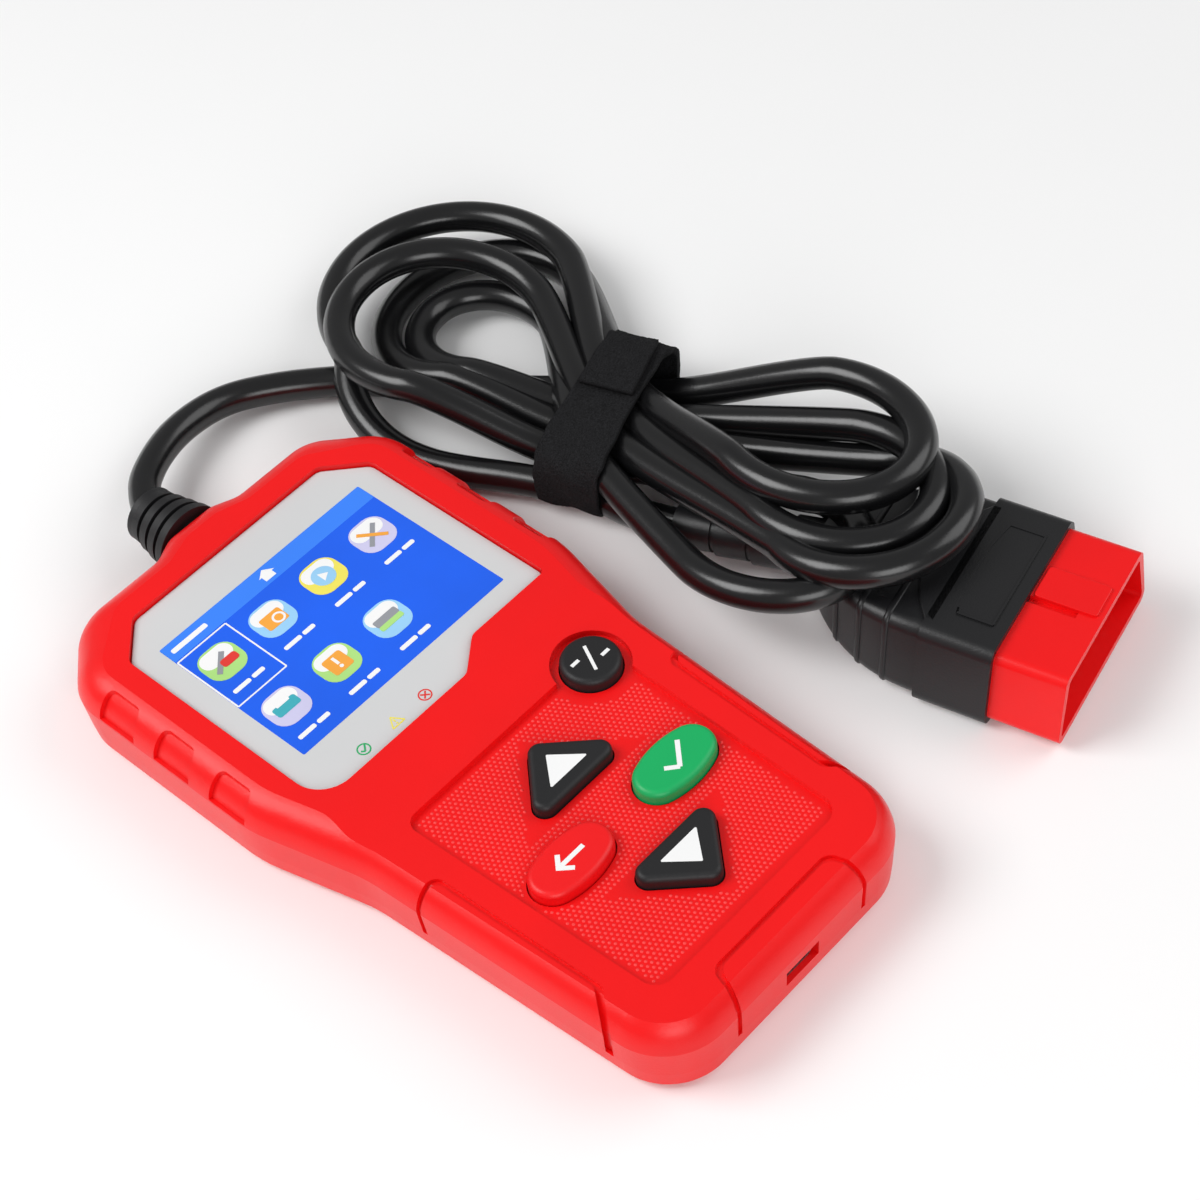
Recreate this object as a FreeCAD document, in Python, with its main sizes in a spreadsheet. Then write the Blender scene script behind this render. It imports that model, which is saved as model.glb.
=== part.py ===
import FreeCAD, Part
import math
import os

# Hand-held vehicle code reader, lying on its back, with its tied-up cable and diagnostic plug.
# Frame: +X to the unit's right, +Y towards its cable end, +Z up through its screen.
# Origin: centre of the housing's length and width, on the surface that it lies on.  Millimetres.

doc = FreeCAD.newDocument("code_reader")
Vector = FreeCAD.Vector

# ------------------------------------------------------------------ driving dimensions

DIMENSIONS = [
    # housing, half sizes in plan and levels above the table
    ("head_half", 46.2), ("head_end", 83.8), ("head_shoulder", 70.0), ("head_low", 18.0),
    ("shoulder_in", 12.4), ("waist_half", 39.9), ("waist_y", -8.0), ("foot_half", 35.9),
    ("foot_end", 84.0), ("hump_half", 6.5), ("hump_rise", 2.6),
    ("split_level", 5.5), ("crease_level", 12.8), ("bevel_level", 17.3), ("top_level", 19.8),
    ("foot_top_level", 18.6), ("bevel_inset", 1.9), ("rim_inset", 6.2), ("wall", 2.0),
    ("ceiling_level", 15.4), ("seam_inset", 0.5), ("back_inset", 0.9), ("back_bevel", 1.6),
    # corner radii of the housing in plan, and the S-curve that lowers its keypad end
    ("hump_round", 5.0), ("hump_cove", 7.0), ("head_round", 12.0), ("shoulder_round", 14.0),
    ("waist_round", 34.0), ("foot_round", 14.0), ("least_round", 2.0), ("slope_start_y", 6.0),
    ("slope_end_y", -7.0),
    # window plate over the display
    ("plate_half", 34.9), ("plate_top", 72.4), ("plate_low", 7.0), ("plate_step", 13.2),
    ("plate_chamfer", 8.4), ("plate_round", 3.0), ("plate_corner", 1.4), ("plate_low_round", 7.5),
    ("plate_step_out", 13.4), ("plate_step_in", 5.4), ("plate_soft", 0.3), ("plate_thick", 1.5),
    ("plate_top_level", 18.6), ("fit_gap", 0.15),
    # display, 2.8 inch with 4:3 sides
    ("screen_wide", 57.6), ("screen_tall", 43.2), ("screen_y", 40.5),
    ("cell_side", 3.2), ("cell_end", 1.9), ("cell_thick", 3.2), ("cell_top_level", 17.0),
    ("cell_gap", 0.2),
    ("tray_rim", 1.3), ("tray_fit", 0.1), ("tray_floor_level", 12.6),
    ("ribbon_near_y", 6.0), ("ribbon_bend_y", 12.0), ("ribbon_far_y", 22.0), ("ribbon_thick", 0.3),
    ("ribbon_x", 6.0), ("ribbon_wide", 16.0),
    # keypad
    ("pad_half_top", 28.3), ("pad_half_low", 26.2), ("pad_top", -8.4), ("pad_low", -72.0),
    ("pad_top_round", 3.0), ("pad_low_round", 4.2),
    ("pad_level", 17.2), ("key_gap", 0.3), ("key_travel", 1.0), ("key_top_level", 20.2),
    ("flange_out", 1.0), ("flange_low_level", 14.0), ("flange_top_level", 15.2),
    ("arrow_half", 13.6), ("arrow_tall", 14.7), ("arrow_foot", 10.8), ("arrow_round", 2.5),
    ("mark_half", 5.3), ("mark_tall", 6.3), ("mark_foot", 13.9), ("mark_deep", 0.6),
    ("keys_y", -40.0), ("oval_x", 14.9), ("oval_half", 10.0), ("oval_tall", 5.8), ("oval_end", 5.0),
    ("round_x", 23.4), ("round_y", -10.3), ("round_rad", 6.4), ("round_cove", 8.4),
    ("key_soft", 1.3), ("stem_rad", 3.6), ("stem_low_level", 8.4), ("pill_rad", 3.0),
    ("pill_gap", 0.1),
    ("mat_head_half", 33.0), ("mat_head_y", -1.6), ("mat_waist_y", -24.0), ("mat_neck_y", -30.0),
    ("mat_half", 28.4), ("mat_low_y", -68.0), ("mat_thick", 1.2), ("mat_clear", 0.35),
    # circuit board
    ("board_low_level", 4.4), ("board_thick", 1.6), ("board_inset", 4.6), ("socket_deep", 5.6),
    ("socket_back", 12.1), ("socket_wide", 14.0), ("socket_tall", 6.0), ("wire_rad", 0.6),
    ("wire_pitch", 2.0), ("guide_rad", 1.35), ("guide_hole_rad", 1.5), ("buzzer_x", 21.0),
    ("buzzer_y", -60.0), ("buzzer_rad", 4.5), ("buzzer_tall", 2.8),
    # housing screws and board screws
    ("screw_head_x", 38.0), ("screw_head_y", 66.0), ("screw_foot_x", 28.5), ("screw_foot_y", -73.0),
    ("post_rad", 3.4), ("screw_hole_rad", 1.5), ("screw_core_rad", 1.15), ("head_rad", 2.5),
    ("head_tall", 1.5), ("head_sink", 0.4), ("screw_tip_level", 13.0), ("drive_deep", 0.6),
    ("drive_long", 2.2), ("drive_wide", 0.6),
    ("stand_x", 37.5), ("stand_head_y", 40.0), ("stand_foot_x", 29.5), ("stand_foot_y", -56.0),
    ("stand_rad", 2.3), ("small_core_rad", 0.9), ("small_head_rad", 1.9), ("small_head_tall", 1.1),
    # grip panels, end panel, thumb-grip dimples and rear label
    ("panel_in_top", 33.2), ("panel_in_low", 31.6), ("panel_top", -20.2), ("panel_low", -70.5),
    ("panel_rake", 1.6), ("panel_flare", 7.5), ("panel_foot_x", 38.0),
    ("end_panel_top", -76.2), ("end_panel_half", 16.6), ("end_panel_half_out", 21.5),
    ("dimple_in", 4.6), ("dimple_half", 4.6), ("dimple_flare", 2.0),
    ("label_wide", 48.0), ("label_tall", 50.0), ("label_y", 36.0), ("label_sink", 0.45),
    ("label_thick", 0.33),
    # data socket in the foot end
    ("usb_level", 7.9), ("usb_slot_wide", 9.4), ("usb_slot_tall", 4.4), ("usb_wide", 7.7),
    ("usb_tall", 3.9), ("usb_long", 9.0), ("usb_skin", 0.35), ("usb_setback", 1.6),
    ("usb_back_wall", 1.5), ("usb_tongue_tall", 0.9),
    # cable and its strain reliefs
    ("cable_dia", 7.2), ("relief_level", 10.0), ("relief_bore", 5.6), ("relief_rad", 8.6),
    ("relief_end_y", 100.0), ("relief_tip_rad", 6.6), ("gland_back", 5.5), ("gland_thick", 1.3),
    ("gland_rise", 1.4), ("relief_slot", 1.3), ("relief_slot_deep", 1.9), ("relief_rib_taper", 0.2),
    # diagnostic plug: place of its front face on the table, turn, and sizes
    ("plug_x", 92.05), ("plug_y", -68.35), ("plug_turn", 12.5),
    ("over_half_low", 23.8), ("over_half_top", 20.2), ("over_top_level", 20.0),
    ("over_low_level", 0.2), ("collar_long", 16.0), ("neck_y", 47.0), ("neck_half", 7.2),
    ("neck_level", 9.0), ("over_round", 3.0), ("over_step", 0.9), ("taper_y", 33.0),
    ("taper_in_low", 4.6), ("taper_in_top", 3.4),
    ("shroud_half_low", 22.4), ("shroud_half_top", 19.2), ("shroud_low_level", 1.3),
    ("shroud_top_level", 18.6), ("shroud_long", 15.5), ("shroud_wall", 1.6),
    ("slot_x", -2.4), ("slot_wide", 1.8), ("slot_long", 10.4), ("slot_deep", 0.9),
    ("pin_pitch", 4.0), ("pin_row", 4.2), ("pin_wide", 1.5), ("pin_thick", 0.8),
    ("pin_long", 8.5), ("carrier_thick", 3.0),
    ("plug_relief_rad", 6.4), ("plug_relief_tip", 4.7), ("plug_relief_slot", 1.2),
    ("plug_relief_slot_deep", 1.0),
    # tie round the folded cable
    ("tie_x", 81.5), ("tie_y", 38.6), ("tie_turn", 18.0), ("tie_wide", 15.0), ("tie_inner", 44.0),
    ("tie_inner_tall", 14.6), ("tie_thick", 1.3), ("tie_low_level", 0.2),
    # folded cable seen from the side: far turns on the table, near turns resting on the plug
    ("hank_low", 0.2), ("hank_far_y", 127.0), ("hank_near_y", -60.0), ("hank_lift_y", 31.0),
    ("hank_rest_y", -24.0), ("hank_rest_level", 20.3), ("hank_far_top", 14.8),
    ("hank_waist_top", 17.4), ("hank_near_top", 31.0),
]

sheet = doc.addObject("Spreadsheet::Sheet", "dims")
for row, (alias, number) in enumerate(DIMENSIONS, start=1):
    sheet.set("A%d" % row, alias)
    sheet.set("B%d" % row, str(number))
    sheet.setAlias("B%d" % row, alias)
doc.recompute()


def size(alias):
    """The value of one cell of the sheet."""
    return float(sheet.get(alias))


# ------------------------------------------------------------------ outlines

def rounded(corners):
    """Edges of a closed outline through (x, y, radius) corners, each rounded by a tangent arc."""
    points = [Vector(x, y, 0) for x, y, _ in corners]
    starts, ends, arcs = [], [], []
    for i, (x, y, radius) in enumerate(corners):
        here = points[i]
        back = (points[i - 1] - here).normalize()
        ahead = (points[(i + 1) % len(points)] - here).normalize()
        half = back.getAngle(ahead) / 2
        reach = radius / math.tan(half)
        starts.append(here + back * reach)
        ends.append(here + ahead * reach)
        bisector = (back + ahead).normalize()
        middle = here + bisector * (radius / math.sin(half) - radius)
        arcs.append(Part.Arc(starts[i], middle, ends[i]) if radius > 0 else None)
    edges = []
    for i in range(len(corners)):
        if arcs[i]:
            edges.append(arcs[i])
        following = (i + 1) % len(corners)
        edges.append(Part.LineSegment(ends[i], starts[following]))
    return edges


def mirrored(right):
    """Corners of an outline symmetric about x = 0, from those of its right half, top to bottom."""
    return right + [(-x, y, radius) for x, y, radius in reversed(right)]


def housing_outline(inset=0.0):
    """Plan outline of the housing, moved inwards by inset."""
    half, end = size("head_half") - inset, size("head_end") - inset
    foot_end = size("foot_end") - inset
    shoulder, chamfer = size("head_shoulder") - 0.4 * inset, size("shoulder_in") + 0.1 * inset
    rise = end + size("hump_rise")
    least, waist_round = size("least_round"), size("waist_round")
    return rounded(mirrored([
        (size("hump_half") - 0.4 * inset, rise, size("hump_round")),
        (size("hump_half") + size("hump_round"), end, size("hump_cove")),
        (half - chamfer, end, max(size("head_round") - inset, least)),
        (half, shoulder, max(size("shoulder_round") - inset, least)),
        (half, size("head_low"), waist_round - inset),
        (size("waist_half") - inset, size("waist_y"), waist_round + inset),
        (size("foot_half") - inset, -foot_end, size("foot_round") - inset),
    ]))


def plate_outline(gap=0.0):
    """Window plate: wide, chamfered at the top, and cut away in a step at its lower right."""
    half, top, low = size("plate_half") + gap, size("plate_top") + gap, size("plate_low") - gap
    step, chamfer, soft = size("plate_step") - gap, size("plate_chamfer"), size("plate_round")
    return rounded([
        (half - chamfer, top, soft), (half, top - chamfer, soft), (half, step, size("plate_corner")),
        (size("plate_step_out"), step, soft), (size("plate_step_in"), low, soft),
        (-half, low, size("plate_low_round")), (-half, top - chamfer, soft),
        (chamfer - half, top, soft),
    ])


def cell_outline(grow=0.0, radius=0.0):
    """The display's glass, which is its picture and the border round that, grown all round."""
    return rectangle(size("screen_wide") + 2 * (size("cell_side") + grow),
                     size("screen_tall") + 2 * (size("cell_end") + grow), 0, size("screen_y"), radius)


def pad_outline():
    """Keypad recess: wider at its top than at its foot."""
    return rounded(mirrored([
        (size("pad_half_top"), size("pad_top"), size("pad_top_round")),
        (size("pad_half_low"), size("pad_low"), size("pad_low_round")),
    ]))


def rectangle(wide, tall, x=0.0, y=0.0, radius=0.0):
    """Rectangle centred at (x, y)."""
    half_wide, half_tall = wide / 2, tall / 2
    return rounded([
        (x + half_wide, y + half_tall, radius), (x + half_wide, y - half_tall, radius),
        (x - half_wide, y - half_tall, radius), (x - half_wide, y + half_tall, radius),
    ])


def circle(x, y, radius):
    """Circle as a one-edge outline."""
    return [Part.Circle(Vector(x, y, 0), Vector(0, 0, 1), radius)]


def arrow_outline(way, grow=0.0):
    """Arrow key: a triangle with rounded corners, pointing up (way 1) or down (way -1)."""
    slant = math.atan2(size("arrow_tall"), size("arrow_half"))
    half = size("arrow_half") + grow / math.tan(slant / 2)
    foot = size("arrow_foot") - grow
    apex = size("arrow_foot") + size("arrow_tall") + grow / math.cos(slant)
    radius = size("arrow_round") + grow
    corners = [(0, apex, radius), (half, foot, radius), (-half, foot, radius)]
    return rounded([(x, size("keys_y") + way * y, r) for x, y, r in corners])


def mark_outline(way):
    """White triangle let into an arrow key."""
    foot, apex = size("mark_foot"), size("mark_foot") + size("mark_tall")
    corners = [(0, apex), (size("mark_half"), foot), (-size("mark_half"), foot)]
    return rounded([(x, size("keys_y") + way * y, 0.25) for x, y in corners])


def oval_outline(side, grow=0.0):
    """Oval key: two long arcs and two end arcs, all tangent; side is -1 left and 1 right."""
    half, tall, end = size("oval_half") + grow, size("oval_tall") + grow, size("oval_end") + grow
    reach = half - end
    bow = (tall ** 2 + reach ** 2 - end ** 2) / (2 * (tall - end))
    slope = math.atan2(bow - tall, reach)
    touch_x, touch_y = reach + end * math.cos(slope), end * math.sin(slope)
    middle = Vector(side * size("oval_x"), size("keys_y"), 0)

    def arc(start, through, stop):
        return Part.Arc(*[middle + Vector(x, y, 0) for x, y in (start, through, stop)])

    return [
        arc((-touch_x, touch_y), (0, tall), (touch_x, touch_y)),
        arc((touch_x, touch_y), (half, 0), (touch_x, -touch_y)),
        arc((touch_x, -touch_y), (0, -tall), (-touch_x, -touch_y)),
        arc((-touch_x, -touch_y), (-half, 0), (-touch_x, touch_y)),
    ]


def label_outline(gap=0.0):
    """Rear label, in the head half of the back."""
    return rectangle(size("label_wide") + 2 * gap, size("label_tall") + 2 * gap, 0,
                     size("label_y"), 2.0 + gap)


def plug_section(half_low, half_top, low, top, radius):
    """D-shaped section of the diagnostic plug, wider below than above, as (x, z) outline."""
    return rounded([
        (half_top, top, radius), (half_low, low, radius),
        (-half_low, low, radius), (-half_top, top, radius),
    ])


# ------------------------------------------------------------------ feature helpers

parts = {}


def keep(name, item):
    """Register a finished sub-part under its node name."""
    item.Label = name
    parts[name] = item
    return item


def origin_plane(body, role):
    """One of a body's own origin planes."""
    return next(item for item in body.Origin.OriginFeatures if item.Role == role)


def new_body(name):
    return doc.addObject("PartDesign::Body", name)


def body_sketch(body, name, outlines, level=None, role="XY_Plane"):
    """Sketch on one of the body's origin planes, lifted to the level that the expression gives."""
    sketch = body.newObject("Sketcher::SketchObject", name)
    sketch.AttachmentSupport = [(origin_plane(body, role), "")]
    sketch.MapMode = "FlatFace"
    sketch.addGeometry(outlines, False)
    if level is not None:
        sketch.setExpression("AttachmentOffset.Base.z", str(level))
    return sketch


def pad(body, name, outlines, level, length, role="XY_Plane"):
    """Padded outline: starts at level, length long, both expressions on the sheet."""
    feature = body.newObject("PartDesign::Pad", name)
    feature.Profile = body_sketch(body, name + "_sketch", outlines, level, role)
    feature.setExpression("Length", str(length))
    body.Tip = feature
    return feature


def pocket(body, name, outlines, level, depth):
    """Pocket from a level downwards."""
    feature = body.newObject("PartDesign::Pocket", name)
    feature.Profile = body_sketch(body, name + "_sketch", outlines, level)
    feature.setExpression("Length", str(depth))
    body.Tip = feature
    return feature


def loft(body, name, sections, ruled=True, role="XY_Plane"):
    """Loft through (outline, level expression) sections."""
    sketches = [body_sketch(body, "%s_%d" % (name, i), outline, level, role)
                for i, (outline, level) in enumerate(sections)]
    feature = body.newObject("PartDesign::AdditiveLoft", name)
    feature.Profile = sketches[0]
    feature.Sections = sketches[1:]
    feature.Ruled = ruled
    body.Tip = feature
    return feature


def round_edges(body, name, radius, chosen):
    """Fillet on the edges of the body's tip that the test picks."""
    doc.recompute()
    base = body.Tip
    picked = ["Edge%d" % (i + 1) for i, edge in enumerate(base.Shape.Edges) if chosen(edge)]
    feature = body.newObject("PartDesign::Fillet", name)
    feature.Base = (base, picked)
    feature.setExpression("Radius", str(radius))
    body.Tip = feature
    return feature


def at_level(level):
    """Test for edges that lie flat at one height."""
    return lambda edge: abs(edge.BoundBox.ZMin - level) < 1e-4 and abs(edge.BoundBox.ZMax - level) < 1e-4


def prism(name, outlines, level, length):
    """Straight solid over an outline, from a level upwards, for use in booleans."""
    sketch = doc.addObject("Sketcher::SketchObject", name + "_sketch")
    sketch.addGeometry(outlines, False)
    sketch.setExpression("Placement.Base.z", str(level))
    solid = doc.addObject("Part::Extrusion", name)
    solid.Base = sketch
    solid.DirMode = "Custom"
    solid.Dir = Vector(0, 0, 1)
    solid.setExpression("LengthFwd", str(length))
    solid.Solid = True
    return solid


def cylinder(name, x, y, level, radius, height):
    """Upright cylinder whose place and sizes are expressions on the sheet."""
    solid = doc.addObject("Part::Cylinder", name)
    for prop, expression in (("Radius", radius), ("Height", height), ("Placement.Base.x", x),
                             ("Placement.Base.y", y), ("Placement.Base.z", level)):
        solid.setExpression(prop, str(expression))
    return solid


def block(name, wide, deep, tall, x, y, level):
    """Box centred at (x, y) that stands on a level."""
    solid = doc.addObject("Part::Box", name)
    sizes = (("Length", wide), ("Width", deep), ("Height", tall))
    for prop, expression in sizes:
        solid.setExpression(prop, str(expression))
    solid.setExpression("Placement.Base.x", "%s - (%s) / 2" % (x, wide))
    solid.setExpression("Placement.Base.y", "%s - (%s) / 2" % (y, deep))
    solid.setExpression("Placement.Base.z", str(level))
    return solid


def fuse(name, items):
    solid = doc.addObject("Part::MultiFuse", name)
    solid.Shapes = items
    return solid


def cut(name, base, tool):
    solid = doc.addObject("Part::Cut", name)
    solid.Base = base
    solid.Tool = tool
    return solid


def group(name, items):
    """Separate solids in one node."""
    solid = doc.addObject("Part::Compound", name)
    solid.Links = items
    return solid


# ------------------------------------------------------------------ housing

def crease_loft(name, inset=0.0, drop=0.0):
    """Outside of the front shell above the split, or the same shape moved inwards and down."""
    body = new_body(name)
    loft(body, name + "_side", [
        (housing_outline(size("seam_inset") + inset), "dims.split_level"),
        (housing_outline(inset), "dims.crease_level"),
    ])
    loft(body, name + "_bevel", [
        (housing_outline(inset), "dims.crease_level"),
        (housing_outline(size("bevel_inset") + inset), "dims.bevel_level - %s" % drop),
        (housing_outline(size("rim_inset") + inset), "dims.top_level - %s" % drop),
    ], ruled=False)
    return body


def foot_lowering():
    """What is taken off the top so that the keypad end lies lower, with an S-curve at the waist."""
    high, low = size("top_level"), size("foot_top_level")
    start_y, end_y, above = size("slope_start_y"), size("slope_end_y"), high + 6.0
    run, rise = (start_y - end_y) / 2, (high - low) / 2
    bow = (run ** 2 + rise ** 2) / (2 * rise)
    half_turn = math.asin(run / bow) / 2
    side, up = bow * math.sin(half_turn), bow * (1 - math.cos(half_turn))
    middle = Vector(end_y + run, low + rise, 0)
    beyond = -size("foot_end") - 10
    corners = [Vector(start_y, high, 0), Vector(start_y, above, 0), Vector(beyond, above, 0),
               Vector(beyond, low, 0), Vector(end_y, low, 0)]
    outline = [Part.LineSegment(a, b) for a, b in zip(corners, corners[1:])]
    outline.append(Part.Arc(corners[4], Vector(end_y + side, low + up, 0), middle))
    outline.append(Part.Arc(middle, Vector(start_y - side, high - up, 0), corners[0]))
    body = new_body("foot_lowering")
    feature = pad(body, "foot_lowering_pad", outline, 0, "2.6 * dims.head_half", role="YZ_Plane")
    feature.Midplane = True
    return body


def side_panel(side, inset=0.0):
    """Grip panel on the lower side, seen in plan; it runs out past the housing's edge."""
    beyond = size("head_half") + 10 - inset
    inner, low_inner = size("panel_in_top") + inset, size("panel_in_low") + inset
    top, low = size("panel_top") - inset, size("panel_low") + inset
    corners = [(inner, top - size("panel_rake"), 2.4), (beyond, top, 0), (beyond, low, 0),
               (size("panel_foot_x") + 0.6 * inset, low, 1.0),
               (low_inner, low + size("panel_flare"), 2.0)]
    return rounded([(side * x, y, radius) for x, y, radius in corners])


def end_panel(inset=0.0):
    """Panel in the foot end, seen in plan."""
    beyond = inset - size("foot_end") - 10
    half_top, half_low = size("end_panel_half") - inset, size("end_panel_half_out") - inset
    top = size("end_panel_top") - inset
    return rounded([(half_top, top, 3.0), (half_low, beyond, 0), (-half_low, beyond, 0),
                    (-half_top, top, 3.0)])


def grip_dimple(side, y):
    """One thumb-grip dimple, open towards the crease."""
    inner, beyond = size("head_half") - size("dimple_in"), size("head_half") + 10
    half = size("dimple_half")
    wide = half + size("dimple_flare")
    corners = [(inner, y + half, 1.8), (beyond, y + wide, 0), (beyond, y - wide, 0),
               (inner, y - half, 1.8)]
    return rounded([(side * x, top, radius) for x, top, radius in corners])


BOARD_TOP = "dims.board_low_level + dims.board_thick"
GROOVE_WIDE = 1.1
GROOVE_DEEP = 0.8
DIMPLES_Y = (57.5, 41.0, 24.5)
LED_X = (-20.5, -12.0, -3.3)
LED_Y = 10.6
ARROWS = (("up", 1), ("down", -1))
OVALS = (("back", -1), ("enter", 1))


def surface_cutters():
    """Grooves round the grip and end panels, and the thumb-grip dimples: all cut to one depth."""
    floor = crease_loft("groove_floor", GROOVE_DEEP, GROOVE_DEEP)
    foot_floor = doc.addObject("Part::Common", "foot_groove_floor")
    foot_floor.Base = floor
    below = block("below_foot_top", "200", "300", "dims.foot_top_level - %s" % GROOVE_DEEP, 0, 0, 0)
    foot_floor.Tool = below
    rings = [
        prism("panel_ring_%s" % name, outer + inner, "dims.split_level", "20")
        for name, outer, inner in (
            ("right", side_panel(1), side_panel(1, GROOVE_WIDE)),
            ("left", side_panel(-1), side_panel(-1, GROOVE_WIDE)),
            ("end", end_panel(), end_panel(GROOVE_WIDE)))
    ]
    dimples = [
        prism("dimple_%d_%d" % (i, side > 0), grip_dimple(side, y), "dims.crease_level + 0.4", "20")
        for i, y in enumerate(DIMPLES_Y) for side in (-1, 1)
    ]
    return [cut("grooves", fuse("panel_rings", rings), foot_floor),
            cut("dimples", fuse("dimple_prisms", dimples), floor)]


def post_places(x, head_y, foot_y, foot_x):
    """Four places symmetric about x = 0, as expressions."""
    return [("%s%s" % (sign, x if y == head_y else foot_x), y)
            for y in (head_y, foot_y) for sign in ("", "-")]


SCREWS = post_places("dims.screw_head_x", "dims.screw_head_y", "dims.screw_foot_y",
                     "dims.screw_foot_x")
STANDS = post_places("dims.stand_x", "dims.stand_head_y", "dims.stand_foot_y", "dims.stand_foot_x")


def posts(name, places, level, radius, height):
    """Upright cylinders at all the places, fused."""
    return fuse(name, [cylinder("%s_%d" % (name, i), x, y, level, radius, height)
                       for i, (x, y) in enumerate(places)])


def lying_cylinder(name, y, radius, length):
    """Cylinder along +Y on the cable's axis."""
    solid = cylinder(name, 0, y, "dims.relief_level", radius, length)
    solid.Placement.Rotation = FreeCAD.Rotation(Vector(1, 0, 0), -90)
    return solid


def cable_holes(name):
    """Hole for the strain relief through the end wall, and the slot that holds its gland."""
    slot_y = "dims.head_end + dims.hump_rise - dims.gland_back - 0.1"
    slot_rad = "dims.relief_bore + dims.gland_rise + 0.1"
    return [lying_cylinder(name + "_hole", "dims.head_end - 6", "dims.relief_bore", "12"),
            lying_cylinder(name + "_slot", slot_y, slot_rad, "dims.gland_thick + 0.2")]


def key_openings():
    """Holes in the keypad floor, a running gap larger than the keys."""
    gap = size("key_gap")
    level, length = "dims.ceiling_level - 1", "5"
    holes = [prism(name + "_hole", arrow_outline(way, gap), level, length) for name, way in ARROWS]
    holes += [prism(name + "_hole", oval_outline(side, gap), level, length) for name, side in OVALS]
    holes.append(cylinder("round_hole", "dims.round_x", "dims.round_y", level,
                          "dims.round_rad + dims.key_gap", length))
    return holes


def front_shell():
    cavity = new_body("front_cavity")
    wall = size("wall")
    loft(cavity, "front_cavity_loft", [
        (housing_outline(size("seam_inset") + wall), "dims.split_level - 0.01"),
        (housing_outline(wall), "dims.crease_level - 1"),
        (housing_outline(wall + 3.4), "dims.ceiling_level"),
    ])
    front_posts = posts("front_posts", SCREWS, "dims.split_level", "dims.post_rad", "12")
    cutters = [
        cut("front_hollow", cavity, front_posts),
        foot_lowering(),
        prism("plate_recess", plate_outline(size("fit_gap")),
              "dims.plate_top_level - dims.plate_thick", "5"),
        prism("display_window", cell_outline(size("cell_gap")), "dims.ceiling_level - 1", "5"),
        prism("keypad_recess", pad_outline(), "dims.pad_level", "5"),
        cylinder("round_cove", "dims.round_x", "dims.round_y", "dims.pad_level",
                 "dims.round_cove", "5"),
        posts("screw_cores", SCREWS, "dims.split_level - 1", "dims.screw_core_rad",
              "dims.screw_tip_level - dims.split_level + 1"),
        block("usb_slot", "dims.usb_slot_wide", "8", "dims.usb_slot_tall", 0, "-dims.foot_end",
              "dims.usb_level - dims.usb_slot_tall / 2"),
    ]
    cutters += key_openings() + surface_cutters() + cable_holes("front_cable")
    cutters += [cylinder("guide_hole_%d" % i, x, LED_Y, "dims.ceiling_level - 1",
                         "dims.guide_hole_rad", "5")
                for i, x in enumerate(LED_X)]
    outside = crease_loft("front_outside")
    keep("front_shell", cut("front_shell", outside, fuse("front_cutters", cutters)))


def back_shell():
    outside = new_body("back_outside")
    loft(outside, "back_loft", [
        (housing_outline(size("back_inset") + size("back_bevel")), "0"),
        (housing_outline(size("back_inset")), "dims.back_bevel"),
        (housing_outline(size("seam_inset")), "dims.split_level"),
    ])
    pocket(outside, "back_pocket", housing_outline(size("seam_inset") + size("wall")),
           "dims.split_level", "dims.split_level - dims.wall")
    pocket(outside, "label_recess", label_outline(0.2), "dims.label_sink", "1")
    solid = fuse("back_with_posts", [
        outside,
        posts("back_posts", SCREWS, 0, "dims.post_rad", "dims.split_level"),
        posts("board_stands", STANDS, "1", "dims.stand_rad", "dims.board_low_level - 1"),
    ])
    holes = fuse("back_holes", [
        posts("screw_holes", SCREWS, "-1", "dims.screw_hole_rad", "10"),
        posts("screw_sinks", SCREWS, "-1", "dims.head_rad + 0.2",
              "1 + dims.head_sink + dims.head_tall"),
        posts("stand_cores", STANDS, "dims.wall - 0.8", "dims.small_core_rad", "10"),
        *cable_holes("back_cable"),
    ])
    keep("back_shell", cut("back_shell", solid, holes))


def screws(name, places, head_rad, head_tall, core_rad, low, high, heads_up):
    """Pan-head screws with a cross socket, all alike, between two levels."""
    head_level = "%s - %s" % (high, head_tall) if heads_up else low
    shank_level = low if heads_up else "%s + %s" % (low, head_tall)
    shank_tall = "%s - (%s) - %s" % (high, low, head_tall)
    drive_level = "%s - dims.drive_deep" % high if heads_up else low
    solids = []
    for i, (x, y) in enumerate(places):
        head = cylinder("%s_head_%d" % (name, i), x, y, head_level, head_rad, head_tall)
        shank = cylinder("%s_shank_%d" % (name, i), x, y, shank_level, core_rad, shank_tall)
        drive = [
            block("%s_drive_%s_%d" % (name, way, i), wide, deep, "dims.drive_deep", x, y, drive_level)
            for way, wide, deep in (("x", "dims.drive_long", "dims.drive_wide"),
                                    ("y", "dims.drive_wide", "dims.drive_long"))
        ]
        whole = fuse("%s_whole_%d" % (name, i), [head, shank])
        solids.append(cut("%s_screw_%d" % (name, i), whole,
                          fuse("%s_socket_%d" % (name, i), drive)))
    keep(name, group(name, solids))


def rear_label():
    body = new_body("rear_label")
    pad(body, "label_pad", label_outline(), "dims.label_sink - dims.label_thick",
        "dims.label_thick")
    keep("rear_label", body)


# ------------------------------------------------------------------ window and display

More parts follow.
